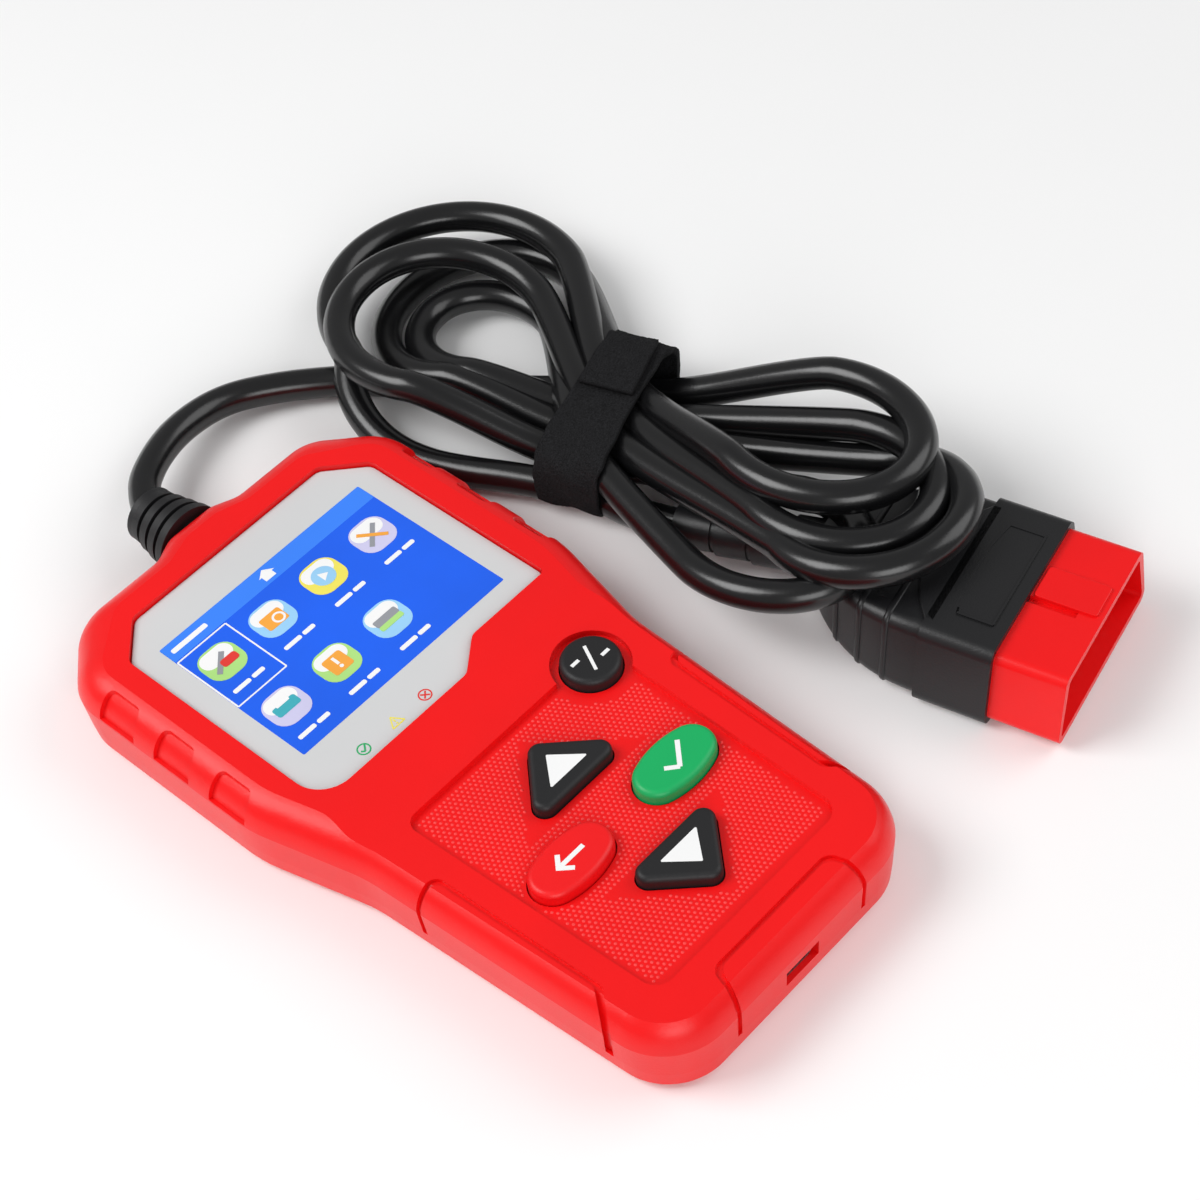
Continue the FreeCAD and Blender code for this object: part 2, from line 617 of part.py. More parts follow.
def display():
    plate = new_body("display_plate")
    pad(plate, "plate_pad", plate_outline(), "dims.plate_top_level - dims.plate_thick",
        "dims.plate_thick")
    round_edges(plate, "plate_soft", "dims.plate_soft", at_level(size("plate_top_level")))
    keep("display_plate", plate)

    cell = new_body("lcd_panel")
    pad(cell, "cell_pad", cell_outline(), "dims.cell_top_level - dims.cell_thick",
        "dims.cell_thick")
    keep("lcd_panel", cell)

    tray = new_body("lcd_tray")
    pad(tray, "tray_pad", cell_outline(size("tray_rim"), 0.8), "dims.tray_floor_level",
        "dims.ceiling_level - dims.tray_floor_level")
    pocket(tray, "tray_pocket", cell_outline(size("tray_fit")), "dims.ceiling_level",
           "dims.ceiling_level - dims.cell_top_level + dims.cell_thick")
    keep("lcd_tray", tray)

    ribbon = new_body("lcd_ribbon")
    top, low = size("tray_floor_level"), size("board_low_level") + size("board_thick")
    near, bend, far = size("ribbon_near_y"), size("ribbon_bend_y"), size("ribbon_far_y")
    thick = size("ribbon_thick")
    corners = [(far, top, 0), (bend, top, 0.5), (bend, low + thick, 0.2), (near, low + thick, 0),
               (near, low, 0), (bend + thick, low, 0.5), (bend + thick, top - thick, 0.2),
               (far, top - thick, 0)]
    pad(ribbon, "ribbon_pad", rounded(corners), "dims.ribbon_x", "dims.ribbon_wide", role="YZ_Plane")
    keep("lcd_ribbon", ribbon)


# ------------------------------------------------------------------ keypad

def key(name, outline, flange, stem_x, stem_y, mark=None):
    """One key: hidden flange, cap with a soft top edge, and a stem with its contact pill."""
    body = new_body(name)
    pad(body, name + "_flange", flange, "dims.flange_low_level",
        "dims.flange_top_level - dims.flange_low_level")
    pad(body, name + "_cap", outline, "dims.flange_low_level",
        "dims.key_top_level - dims.flange_low_level")
    pad(body, name + "_stem", circle(stem_x, stem_y, size("stem_rad")), "dims.stem_low_level",
        "dims.flange_low_level - dims.stem_low_level + 0.5")
    round_edges(body, name + "_soft", "dims.key_soft", at_level(size("key_top_level")))
    if mark:
        pocket(body, name + "_mark_bed", mark, "dims.key_top_level", "dims.mark_deep")
        white = new_body(name + "_arrow")
        pad(white, name + "_arrow_pad", mark, "dims.key_top_level - dims.mark_deep",
            "dims.mark_deep")
        keep(name + "_arrow", white)
    keep(name, body)
    # the pill meets the board at the end of the key's travel, with a little to spare
    pill_level = BOARD_TOP + " + dims.key_travel + dims.pill_gap"
    pill = cylinder(name + "_contact", stem_x, stem_y, pill_level, "dims.pill_rad",
                    "dims.stem_low_level - (%s)" % pill_level)
    keep(name + "_contact", pill)


def keypad():
    out = size("flange_out")
    middle = size("arrow_foot") + size("arrow_tall") / 3
    for name, way in ARROWS:
        key(name + "_key", arrow_outline(way), arrow_outline(way, out), 0,
            size("keys_y") + way * middle, mark_outline(way))
    for name, side in OVALS:
        key(name + "_key", oval_outline(side), oval_outline(side, out), side * size("oval_x"),
            size("keys_y"))
    x, y, radius = size("round_x"), size("round_y"), size("round_rad")
    key("round_key", circle(x, y, radius), circle(x, y, radius + out), x, y)

    mat = new_body("keypad_mat")
    top_level, thick = "dims.ceiling_level", "dims.mat_thick"
    head_half, half, low_y = size("mat_head_half"), size("mat_half"), size("mat_low_y")
    head_y = size("mat_head_y")
    # wider on the right of its head, to take in the round key
    outline = rounded([(head_half, head_y, 3.0), (head_half - 1.5, size("mat_waist_y"), 6.0),
                       (half, size("mat_neck_y"), 6.0), (half, low_y, 3.0), (-half, low_y, 3.0),
                       (-half - 1.6, head_y - 1.4, 3.0)])
    pad(mat, "mat_pad", outline, "%s - %s" % (top_level, thick), thick)
    clear = out + size("mat_clear")
    holes = [arrow_outline(way, clear) for _, way in ARROWS]
    holes += [oval_outline(side, clear) for _, side in OVALS]
    holes.append(circle(x, y, radius + clear))
    for i, hole in enumerate(holes):
        pocket(mat, "mat_hole_%d" % i, hole, top_level, "2")
    keep("keypad_mat", mat)


# ------------------------------------------------------------------ electronics

# Chips on the board: x, y, width, depth, height.
CHIPS = (
    (0, -12, 12, 12, 1.2),   # processor
    (-19, -22, 8, 5, 1.2),   # memory
    (14, 44, 10, 10, 1.4),   # display driver
    (-16, 50, 7, 5, 2.0),    # vehicle bus driver
    (-24, -62, 6, 9, 2.6),   # power supply
)


def electronics():
    board = new_body("board_blank")
    pad(board, "board_pad", housing_outline(size("board_inset")), "dims.board_low_level",
        "dims.board_thick")
    drilled = fuse("board_holes", [
        posts("board_notches", SCREWS, 0, "dims.post_rad + 0.5", "20"),
        posts("board_drills", STANDS, 0, "dims.small_core_rad + 0.2", "20"),
        block("board_cable_notch", "18", "10", "20", 0, "dims.head_end - 0.3", 0),
    ])
    keep("main_board", cut("main_board", board, drilled))

    keep("board_chips", group("board_chips", [
        block("chip_%d" % i, str(wide), str(deep), str(tall), x, y, BOARD_TOP)
        for i, (x, y, wide, deep, tall) in enumerate(CHIPS)]))
    keep("status_leds", group("status_leds", [
        block("led_%d" % i, "2", "1.25", "0.8", x, LED_Y, BOARD_TOP) for i, x in enumerate(LED_X)]))
    guide_level = "%s + 1" % BOARD_TOP
    keep("light_guides", group("light_guides", [
        cylinder("guide_%d" % i, x, LED_Y, guide_level, "dims.guide_rad",
                 "dims.plate_top_level - dims.plate_thick - %s - 1" % BOARD_TOP.replace("+", "-"))
        for i, x in enumerate(LED_X)]))
    keep("buzzer", cylinder("buzzer", "dims.buzzer_x", "dims.buzzer_y", BOARD_TOP,
                            "dims.buzzer_rad", "dims.buzzer_tall"))
    socket_y = "dims.head_end - dims.socket_back + dims.socket_deep / 2"
    keep("cable_socket", block("cable_socket", "dims.socket_wide", "dims.socket_deep",
                               "dims.socket_tall", 0, socket_y, BOARD_TOP))
    keep("cable_wires", group("cable_wires", [
        lying_wire("wire_%d" % i, (i - 1.5) * size("wire_pitch")) for i in range(4)]))
    usb_socket()


def lying_wire(name, x):
    """Short insulated wire from the socket on the board to the strain relief's gland."""
    wire = lying_cylinder(name, "dims.head_end - dims.socket_back + dims.socket_deep", "dims.wire_rad",
                          "dims.hump_rise - dims.gland_back + dims.socket_back - dims.socket_deep")
    wire.setExpression("Placement.Base.x", str(x))
    return wire


def usb_socket():
    """Small data socket: a metal box open to the foot end, with a tongue inside."""
    body = new_body("usb_socket")
    wide, tall, skin = size("usb_wide"), size("usb_tall"), size("usb_skin")
    level = size("board_low_level") + size("board_thick") + tall / 2
    start = "dims.foot_end - dims.usb_setback"
    pad(body, "usb_pad", rectangle(wide, tall, 0, level, 0.7), "%s - dims.usb_long" % start,
        "dims.usb_long", role="XZ_Plane")
    inside = body.newObject("PartDesign::Pocket", "usb_mouth")
    inside.Profile = body_sketch(
        body, "usb_mouth_sketch",
        rectangle(wide - 2 * skin, tall - 2 * skin, 0, level, 0.4), start, "XZ_Plane")
    inside.setExpression("Length", "dims.usb_long - dims.usb_back_wall")
    body.Tip = inside
    tongue = rectangle(wide - 2.6, size("usb_tongue_tall"), 0, level)
    pad(body, "usb_tongue", tongue, "%s - dims.usb_long + 1" % start,
        "dims.usb_long - 2.5", role="XZ_Plane")
    keep("usb_socket", body)


# ------------------------------------------------------------------ cable and plug

def relief_profile():
    """Half section of the housing's strain relief: (y, radius) steps from inside to outside."""
    end = size("head_end") + size("hump_rise")
    tip, radius, tip_rad = size("relief_end_y"), size("relief_rad"), size("relief_tip_rad")
    inner = size("relief_bore") - 0.1
    ribs, slot, slot_deep = 4, size("relief_slot"), size("relief_slot_deep")
    pitch = (tip - end - 0.1) / ribs
    gland = end - size("gland_back")
    gland_rad, gland_end = inner + size("gland_rise"), gland + size("gland_thick")
    points = [(gland, 0), (gland, gland_rad), (gland_end, gland_rad), (gland_end, inner),
              (end + 0.1, inner)]
    for i in range(ribs):
        start = end + 0.1 + i * pitch
        outer = radius + (tip_rad - radius) * i / (ribs - 1)
        points += [(start, outer), (start + pitch - slot, outer - size("relief_rib_taper"))]
        if i < ribs - 1:
            points += [(start + pitch - slot, outer - slot_deep), (start + pitch, outer - slot_deep)]
    points += [(tip, points[-1][1]), (tip, 0)]
    return points


def strain_relief():
    body = new_body("cable_strain_relief")
    points = [Vector(y, radius, 0) for y, radius in relief_profile()]
    outline = [Part.LineSegment(a, b) for a, b in zip(points, points[1:] + points[:1])
               if (a - b).Length > 1e-6]
    sketch = body_sketch(body, "relief_sketch", outline, None, "YZ_Plane")
    sketch.setExpression("AttachmentOffset.Base.y", "dims.relief_level")
    turn = body.newObject("PartDesign::Revolution", "relief_turn")
    turn.Profile = sketch
    turn.ReferenceAxis = (sketch, ["H_Axis"])
    turn.Angle = 360
    body.Tip = turn
    keep("cable_strain_relief", body)


def on_plug(item):
    """Move an item from the plug's own frame, with +Y along its cable, to its place."""
    item.setExpression("Placement.Base.x", "dims.plug_x")
    item.setExpression("Placement.Base.y", "dims.plug_y")
    item.setExpression("Placement.Rotation.Angle", "dims.plug_turn")
    return item


def plug_point(x, y, z):
    """A point of the plug's own frame, in the part's frame."""
    turn = math.radians(size("plug_turn"))
    return Vector(size("plug_x") + x * math.cos(turn) - y * math.sin(turn),
                  size("plug_y") + x * math.sin(turn) + y * math.cos(turn), z)


def plug():
    low_half, top_half = size("over_half_low"), size("over_half_top")
    low, top = size("over_low_level"), size("over_top_level")
    half, neck_level = size("neck_half"), size("neck_level")
    step, soft = size("over_step"), size("over_round")
    taper_low, taper_top = low_half - size("taper_in_low"), top_half - size("taper_in_top")
    over = new_body("plug_overmold")
    loft(over, "over_rear", [
        (plug_section(low_half - step, top_half - step, low + 0.5, top - 0.7, soft),
         "-dims.collar_long + 0.01"),
        (plug_section(taper_low, taper_top, low + 0.9, top - 1.6, soft), "-dims.taper_y"),
        (plug_section(half, half, neck_level - half, neck_level + half, 4.6), "-dims.neck_y"),
    ], ruled=False, role="XZ_Plane")
    pad(over, "over_collar", plug_section(low_half, top_half, low, top, soft),
        "-dims.collar_long", "dims.collar_long", role="XZ_Plane")
    keep("plug_overmold", on_plug(over))

    shroud = new_body("plug_shroud")
    low_half, top_half = size("shroud_half_low"), size("shroud_half_top")
    low, top, wall = size("shroud_low_level"), size("shroud_top_level"), size("shroud_wall")
    pad(shroud, "shroud_pad", plug_section(low_half, top_half, low, top, 2.2), "0",
        "dims.shroud_long", role="XZ_Plane")
    inside = plug_section(low_half - wall, top_half - wall, low + wall, top - wall, 1.0)
    mouth = shroud.newObject("PartDesign::Pocket", "shroud_mouth")
    mouth.Profile = body_sketch(shroud, "shroud_mouth_sketch", inside, "dims.shroud_long",
                                "XZ_Plane")
    mouth.setExpression("Length", "dims.shroud_long + 1")
    shroud.Tip = mouth
    slot_long = size("slot_long")
    slot = rectangle(size("slot_wide"), slot_long, size("slot_x"), -slot_long / 2)
    pocket(shroud, "shroud_slot", slot, "dims.shroud_top_level", "dims.slot_deep")
    keep("plug_shroud", on_plug(shroud))

    carrier = new_body("plug_pin_carrier")
    pad(carrier, "carrier_pad", inside, "0", "dims.carrier_thick", role="XZ_Plane")
    keep("plug_pin_carrier", on_plug(carrier))

    level = (low + top) / 2
    pins = [block("pin_%d_%d" % (i, row), "dims.pin_wide", "dims.pin_long", "dims.pin_thick",
                  "%s * dims.pin_pitch" % (i - 3.5), "-dims.carrier_thick - dims.pin_long / 2",
                  "%s + %s * dims.pin_row - dims.pin_thick / 2" % (level, row))
            for i in range(8) for row in (-1, 1)]
    keep("plug_pins", on_plug(group("plug_pins", pins)))


def plug_relief():
    """Tapered strain relief that leads the cable out of the plug, in ribbed steps."""
    start = plug_point(0, size("neck_y") - 1.0, size("neck_level"))
    way = TAIL_ROUTE[0] - start
    steps = 4
    base, tip, slot = size("plug_relief_rad"), size("plug_relief_tip"), size("plug_relief_slot")
    pitch = way.Length / steps
    turn = FreeCAD.Rotation(Vector(0, 0, 1), way)
    pieces = []
    for i in range(steps):
        radius = base + (tip - base) * i / (steps - 1)
        last = i == steps - 1
        stretches = [(0, pitch if last else pitch - slot, radius)]
        if not last:
            stretches.append((pitch - slot, slot, radius - size("plug_relief_slot_deep")))
        for offset, length, rad in stretches:
            ring = doc.addObject("Part::Cylinder", "relief_ring_%d_%d" % (i, offset > 0))
            ring.Radius, ring.Height = rad, length
            place = start + way * ((i * pitch + offset) / way.Length)
            ring.Placement = FreeCAD.Placement(place, turn)
            pieces.append(ring)
    keep("plug_relief", fuse("plug_relief", pieces))


# Routes of the stretches that aren't tied up: out of the housing, and into the plug's relief.
LEAD_ROUTE = [Vector(0, 100.0, 10.0), Vector(3.0, 106.5, 9.7), Vector(11.5, 112.5, 8.8),
              Vector(23.0, 117.0, 7.2), Vector(36.5, 117.2, 5.4), Vector(47.5, 110.8, 4.2),
              Vector(55.5, 103.5, 3.8)]
TAIL_ROUTE = [Vector(70.0, 8.0, 6.4), Vector(68.2, 14.5, 5.6), Vector(67.2, 21.0, 5.2),
              Vector(67.0, 27.0, 5.2)]


def cable_tube(name, route):
    """Round cable along straight runs joined by tangent arcs as large as the runs allow."""
    radius = size("cable_dia") / 2
    edges, start = [], route[0]
    for before, here, after in zip(route, route[1:], route[2:]):
        back, ahead = before - here, after - here
        half = back.getAngle(ahead) / 2
        reach = 0.45 * min(back.Length, ahead.Length)
        bend = reach * math.tan(half)
        print(name, "bend radius", round(bend, 1))
        first = here + back * (reach / back.Length)
        last = here + ahead * (reach / ahead.Length)
        bisector = (back * (1 / back.Length) + ahead * (1 / ahead.Length)).normalize()
        middle = here + bisector * (bend / math.sin(half) - bend)
        edges += [Part.LineSegment(start, first).toShape(), Part.Arc(first, middle, last).toShape()]
        start = last
    edges.append(Part.LineSegment(start, route[-1]).toShape())
    path = Part.Wire(edges)
    section = Part.Wire(Part.Circle(route[0], route[1] - route[0], radius).toShape())
    shape = path.makePipeShell([section], True, True)
    print(name, "volume over section times length",
          round(shape.Volume / (math.pi * radius ** 2 * path.Length), 4))
    tube = doc.addObject("Part::Feature", name)
    tube.Shape = shape
    keep(name, tube)


def tie_box(name, grow, wide):
    """Block across the waist of the folded cable, the tie's inside grown by grow all round."""
    solid = doc.addObject("Part::Box", name)
    inner, tall = size("tie_inner"), size("tie_inner_tall")
    low = size("tie_low_level") + size("tie_thick") - grow
    solid.Length, solid.Width, solid.Height = inner + 2 * grow, wide, tall + 2 * grow
    turn = FreeCAD.Rotation(Vector(0, 0, 1), size("tie_turn"))
    corner = turn.multVec(Vector(-inner / 2 - grow, -wide / 2, 0))
    middle = Vector(size("tie_x"), size("tie_y"), low)
    solid.Placement = FreeCAD.Placement(middle + corner, turn)
    return solid


# Folded cable seen from above, as x, y and corner radius: out from the tie's right end round the
# far turns, in at the tie's left end, and round the near turns.
HANK_PLAN = (
    (104.0, 42.0, 12.0), (121.0, 80.0, 24.0), (118.5, 126.0, 30.0), (72.0, 126.0, 34.0),
    (49.0, 100.0, 26.0), (51.5, 62.0, 26.0), (61.5, 36.0, 14.0),
    (55.0, 8.0, 24.0), (58.0, -40.0, 24.0), (90.0, -58.0, 18.0), (121.0, -40.0, 24.0),
    (121.0, 2.0, 26.0),
)


def folded_cable():
    """Outer shape of the cable's figure-eight turns, and the tie round their waist."""
    over = prism("hank_plan", rounded(HANK_PLAN), 0, "40")
    side = new_body("hank_side")
    far_y, near_y, lift_y = size("hank_far_y"), size("hank_near_y"), size("hank_lift_y")
    low, rest = size("hank_low"), size("hank_rest_level")
    profile = [
        # underside: flat on the table, up off it past the tie, then level on the plug
        (far_y, low), (lift_y, low), (lift_y - 4, 10.5), (-6, 16.0), (size("hank_rest_y"), rest),
        (near_y, rest),
        # top, back to the far end
        (near_y, size("hank_near_top")), (-14, size("hank_near_top")),
        (lift_y - 1, size("hank_waist_top")), (60, 16.2), (far_y, size("hank_far_top")),
    ]
    corners = [Vector(y, level, 0) for y, level in profile]
    outline = [Part.LineSegment(a, b) for a, b in zip(corners, corners[1:] + corners[:1])]
    feature = pad(side, "hank_side_pad", outline, 0, "300", role="YZ_Plane")
    feature.Midplane = True
    hank = doc.addObject("Part::Common", "hank_blank")
    hank.Base, hank.Tool = over, side
    thick, wide = size("tie_thick"), size("tie_wide")
    slimmed = cut("hank_slimmed", hank, tie_box("tie_space", thick, wide))
    keep("folded_cable", fuse("folded_cable", [slimmed, tie_box("hank_waist", 0.0, wide)]))
    keep("cable_tie", cut("cable_tie", tie_box("tie_outside", thick, wide),
                          tie_box("tie_inside", 0.0, wide + 2)))


for make in (front_shell, back_shell, rear_label, display, keypad, electronics, strain_relief,
             plug, plug_relief, folded_cable):
    make()
cable_tube("cable_lead", LEAD_ROUTE)
cable_tube("cable_tail", TAIL_ROUTE)
screws("housing_screws", SCREWS, "dims.head_rad", "dims.head_tall", "dims.screw_core_rad",
       "dims.head_sink", "dims.screw_tip_level - 0.4", False)
screws("board_screws", STANDS, "dims.small_head_rad", "dims.small_head_tall", "dims.small_core_rad",
       "dims.wall - 0.6", "%s + dims.small_head_tall" % BOARD_TOP, True)

# ------------------------------------------------------------------ checks and export

doc.recompute()
for item in doc.Objects:
    if "Invalid" in item.State or "Error" in item.State:
        raise RuntimeError("failed feature: %s %s" % (item.Name, item.State))
for name, item in parts.items():
    if item.Shape.isNull() or not item.Shape.isValid():
        raise RuntimeError("bad shape: " + name)

os.makedirs("parts", exist_ok=True)
for name, item in parts.items():
    item.Shape.exportStep("parts/%s.step" % name)
    print(name, len(item.Shape.Solids), "solid(s)", round(item.Shape.Volume), "mm3")
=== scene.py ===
import math
import random

import bmesh
import bpy
from mathutils import Matrix, Vector
from mathutils.bvhtree import BVHTree


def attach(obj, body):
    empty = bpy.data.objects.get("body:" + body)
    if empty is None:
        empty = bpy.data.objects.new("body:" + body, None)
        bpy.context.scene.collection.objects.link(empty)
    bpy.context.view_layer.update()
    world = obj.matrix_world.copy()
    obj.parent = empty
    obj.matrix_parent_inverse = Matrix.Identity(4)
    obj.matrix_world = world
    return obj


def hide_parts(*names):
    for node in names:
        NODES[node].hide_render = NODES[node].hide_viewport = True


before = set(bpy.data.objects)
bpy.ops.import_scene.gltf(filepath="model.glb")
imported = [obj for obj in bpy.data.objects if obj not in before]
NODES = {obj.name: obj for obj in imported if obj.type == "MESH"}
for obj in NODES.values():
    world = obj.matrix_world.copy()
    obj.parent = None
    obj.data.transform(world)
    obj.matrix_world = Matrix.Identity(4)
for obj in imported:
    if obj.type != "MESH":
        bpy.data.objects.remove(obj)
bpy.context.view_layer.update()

MM = 0.001
random.seed(7)


def mm(x, y, z=0.0):
    """A point given in millimetres."""
    return Vector((x, y, z)) * MM


# ------------------------------------------------------------------ camera, lights, floor

# Place, lens and sensor width in millimetres; angles in degrees.
CAMERA_PLACE = (-209.16, -276.23, 443.98)
AZIMUTH, ELEVATION, ROLL = -41.75, 49.03, -8.13
LENS, SENSOR_WIDE = 82.97, 36.0

# Each soft box: name, place in metres, width in metres, power in watts.
SOFT_BOXES = (
    ("key", (-0.45, 0.45, 0.75), 0.55, 6.2),
    ("fill", (0.75, -0.45, 0.70), 0.80, 4.0),
    ("front", (-0.45, -0.65, 0.45), 0.50, 3.2),
)
LIT_PLACE = (0.04, 0.02, 0.0)
WORLD_STRENGTH = 0.34
FLOOR_HALF, FLOOR_DROP = 3.0, 0.0003


def camera_axes():
    """The camera's right, up and backward directions."""
    azimuth, elevation, roll = (math.radians(a) for a in (AZIMUTH, ELEVATION, ROLL))
    back = Vector((math.sin(azimuth) * math.cos(elevation),
                   -math.cos(azimuth) * math.cos(elevation), math.sin(elevation)))
    level = Vector((math.cos(azimuth), math.sin(azimuth), 0.0))
    upright = back.cross(level)
    right = level * math.cos(roll) + upright * math.sin(roll)
    up = upright * math.cos(roll) - level * math.sin(roll)
    return right, up, back


def add_camera():
    """Looks down on the unit from its lower left, slightly rolled."""
    data = bpy.data.cameras.new("camera")
    data.lens = LENS
    data.sensor_width = SENSOR_WIDE
    data.clip_start = 0.01
    camera = bpy.data.objects.new("camera", data)
    bpy.context.collection.objects.link(camera)
    turned = Matrix(camera_axes()).transposed().to_4x4()
    camera.matrix_world = Matrix.Translation(mm(*CAMERA_PLACE)) @ turned
    bpy.context.scene.camera = camera


def add_light(name, place, size, power):
    """Square soft box that faces the object."""
    data = bpy.data.lights.new(name, "AREA")
    data.size = size
    data.energy = power
    light = bpy.data.objects.new(name, data)
    bpy.context.collection.objects.link(light)
    light.location = place
    facing = Vector(LIT_PLACE) - Vector(place)
    light.rotation_euler = facing.to_track_quat("-Z", "Y").to_euler()


def add_world():
    """Even white light from all round."""
    world = bpy.data.worlds.new("studio")
    bpy.context.scene.world = world
    world.use_nodes = True
    background = world.node_tree.nodes["Background"]
    background.inputs["Color"].default_value = (1.0, 1.0, 1.0, 1.0)
    background.inputs["Strength"].default_value = WORLD_STRENGTH


def add_floor():
    """Plain pale floor, a hair below the object."""
    bm = bmesh.new()
    bmesh.ops.create_grid(bm, x_segments=1, y_segments=1, size=FLOOR_HALF)
    floor = mesh_object("floor", bm)
    floor.location.z = -FLOOR_DROP
    finish(floor, surface("floor_white", (0.9, 0.9, 0.9), 0.6, grain=40, bump=0.0, mottle=0.0))


def add_studio():
    bpy.context.scene.view_settings.view_transform = "Standard"
    for box in SOFT_BOXES:
        add_light(*box)
    add_world()
    add_floor()


# ------------------------------------------------------------------ materials

# Colour follows a slow noise, between these two levels of it; gloss and relief follow a fine one.
SLOW_SCALE, SLOW_DETAIL, FINE_DETAIL = 38.0, 4.0, 3.0
RAMP_START, RAMP_END = 0.3, 0.7
GLOSS_SPREAD, GLOSS_LEAST = 0.05, 0.02
GRAIN_DEPTH = 0.0003
COAT_ROUGH = 0.12


def add_noise(tree, place, scale, detail):
    """Noise in the piece's own coordinates; returns its factor."""
    noise = tree.nodes.new("ShaderNodeTexNoise")
    noise.inputs["Scale"].default_value = scale
    noise.inputs["Detail"].default_value = detail
    tree.links.new(place.outputs["Object"], noise.inputs["Vector"])
    return noise.outputs["Fac"]


def vary_colour(tree, shader, factor, dark, light):
    """Base colour that wanders between two near tones."""
    ramp = tree.nodes.new("ShaderNodeValToRGB")
    first, last = ramp.color_ramp.elements
    first.position = RAMP_START
    first.color = (*dark, 1.0)
    last.position = RAMP_END
    last.color = (*light, 1.0)
    tree.links.new(factor, ramp.inputs["Fac"])
    tree.links.new(ramp.outputs["Color"], shader.inputs["Base Color"])


def vary_gloss(tree, shader, factor, rough):
    """Roughness that wanders a little either side of one value."""
    gloss = tree.nodes.new("ShaderNodeMapRange")
    gloss.inputs["To Min"].default_value = max(rough - GLOSS_SPREAD, GLOSS_LEAST)
    gloss.inputs["To Max"].default_value = rough + GLOSS_SPREAD
    tree.links.new(factor, gloss.inputs["Value"])
    tree.links.new(gloss.outputs["Result"], shader.inputs["Roughness"])


def add_grain(tree, shader, factor, strength):
    """Fine relief over the whole surface."""
    relief = tree.nodes.new("ShaderNodeBump")
    relief.inputs["Strength"].default_value = strength
    relief.inputs["Distance"].default_value = GRAIN_DEPTH
    tree.links.new(factor, relief.inputs["Height"])
    tree.links.new(relief.outputs["Normal"], shader.inputs["Normal"])


def surface(name, colour, rough, grain=900.0, bump=0.05, mottle=0.06, metal=0.0, coat=0.0,
            specular=0.5, dark=None):
    """Moulded or painted finish: slow colour variation, uneven gloss and fine surface grain.

    A finish given its own dark tone is speckled: its colour follows the fine grain instead.
    """
    material = bpy.data.materials.new(name)
    material.use_nodes = True
    tree = material.node_tree
    shader = tree.nodes["Principled BSDF"]
    shader.inputs["Metallic"].default_value = metal
    shader.inputs["Coat Weight"].default_value = coat
    shader.inputs["Coat Roughness"].default_value = COAT_ROUGH
    shader.inputs["Specular IOR Level"].default_value = specular
    place = tree.nodes.new("ShaderNodeTexCoord")
    fine = add_noise(tree, place, grain, FINE_DETAIL)
    if dark:
        vary_colour(tree, shader, fine, dark, colour)
    else:
        slow = add_noise(tree, place, SLOW_SCALE, SLOW_DETAIL)
        vary_colour(tree, shader, slow, tuple(c * (1 - mottle) for c in colour), colour)
    vary_gloss(tree, shader, fine, rough)
    add_grain(tree, shader, fine, bump)
    return material


def finish(thing, material):
    """One material over the whole piece or node."""
    thing.data.materials.clear()
    thing.data.materials.append(material)
    return thing


RED = surface("red_shell", (0.84, 0.004, 0.005), 0.34, grain=2400, bump=0.10, specular=0.35)
# Lighter red for the keypad domes: painted highlight, standing in for the light that their tops
# catch.
DOT_HIGHLIGHT_RED = surface("dot_red_painted_highlight", (0.92, 0.050, 0.050), 0.40, grain=2400, bump=0.05, specular=0.35)
PLATE = surface("plate_grey", (0.60, 0.605, 0.61), 0.30, grain=1800, bump=0.03, mottle=0.03,
                specular=0.35)
BLACK_RUBBER = surface("black_rubber", (0.010, 0.010, 0.011), 0.50, grain=2600, bump=0.14,
                       specular=0.4)
GREEN_RUBBER = surface("green_rubber", (0.004, 0.40, 0.11), 0.42, grain=2600, bump=0.10,
                       specular=0.4)
RED_RUBBER = surface("red_rubber", (0.84, 0.004, 0.006), 0.40, grain=2600, bump=0.10,
                     specular=0.4)
WHITE_INK = surface("white_ink", (0.86, 0.86, 0.86), 0.45, grain=1500, bump=0.03, mottle=0.03)
CABLE = surface("cable_vinyl", (0.005, 0.005, 0.0055), 0.24, grain=1500, bump=0.05,
                specular=0.55)
PLUG_BLACK = surface("plug_black", (0.009, 0.009, 0.010), 0.38, grain=2200, bump=0.12,
                     specular=0.45)
TIE = surface("tie_fabric", (0.022, 0.022, 0.024), 0.95, grain=3600, bump=0.7, specular=0.12,
              dark=(0.003, 0.003, 0.003))
STEEL = surface("steel", (0.55, 0.55, 0.57), 0.28, grain=1200, bump=0.06, metal=1.0)
PIN = surface("pin_metal", (0.78, 0.74, 0.62), 0.22, grain=1200, bump=0.04, metal=1.0)
LABEL = surface("label_silver", (0.62, 0.63, 0.65), 0.40, grain=1500, bump=0.04)
BOARD = surface("board_green", (0.010, 0.16, 0.06), 0.35, grain=700, bump=0.10)
CHIP = surface("chip_black", (0.020, 0.020, 0.022), 0.50, grain=2200, bump=0.12)
AMBER = surface("ribbon_amber", (0.42, 0.18, 0.03), 0.35, grain=900, bump=0.05)
GUIDE = surface("guide_clear", (0.80, 0.81, 0.82), 0.15, grain=700, bump=0.02)
NYLON = surface("nylon_white", (0.76, 0.75, 0.70), 0.42, grain=1800, bump=0.06)
MAT = surface("mat_grey", (0.16, 0.16, 0.17), 0.60, grain=2000, bump=0.10)
SCREEN_BLUE = surface("screen_blue", (0.004, 0.115, 0.86), 0.16, grain=500, bump=0.01,
                      mottle=0.14, coat=0.4)
HEADER_BLUE = surface("screen_band", (0.035, 0.22, 0.93), 0.16, grain=500, bump=0.01, coat=0.4)
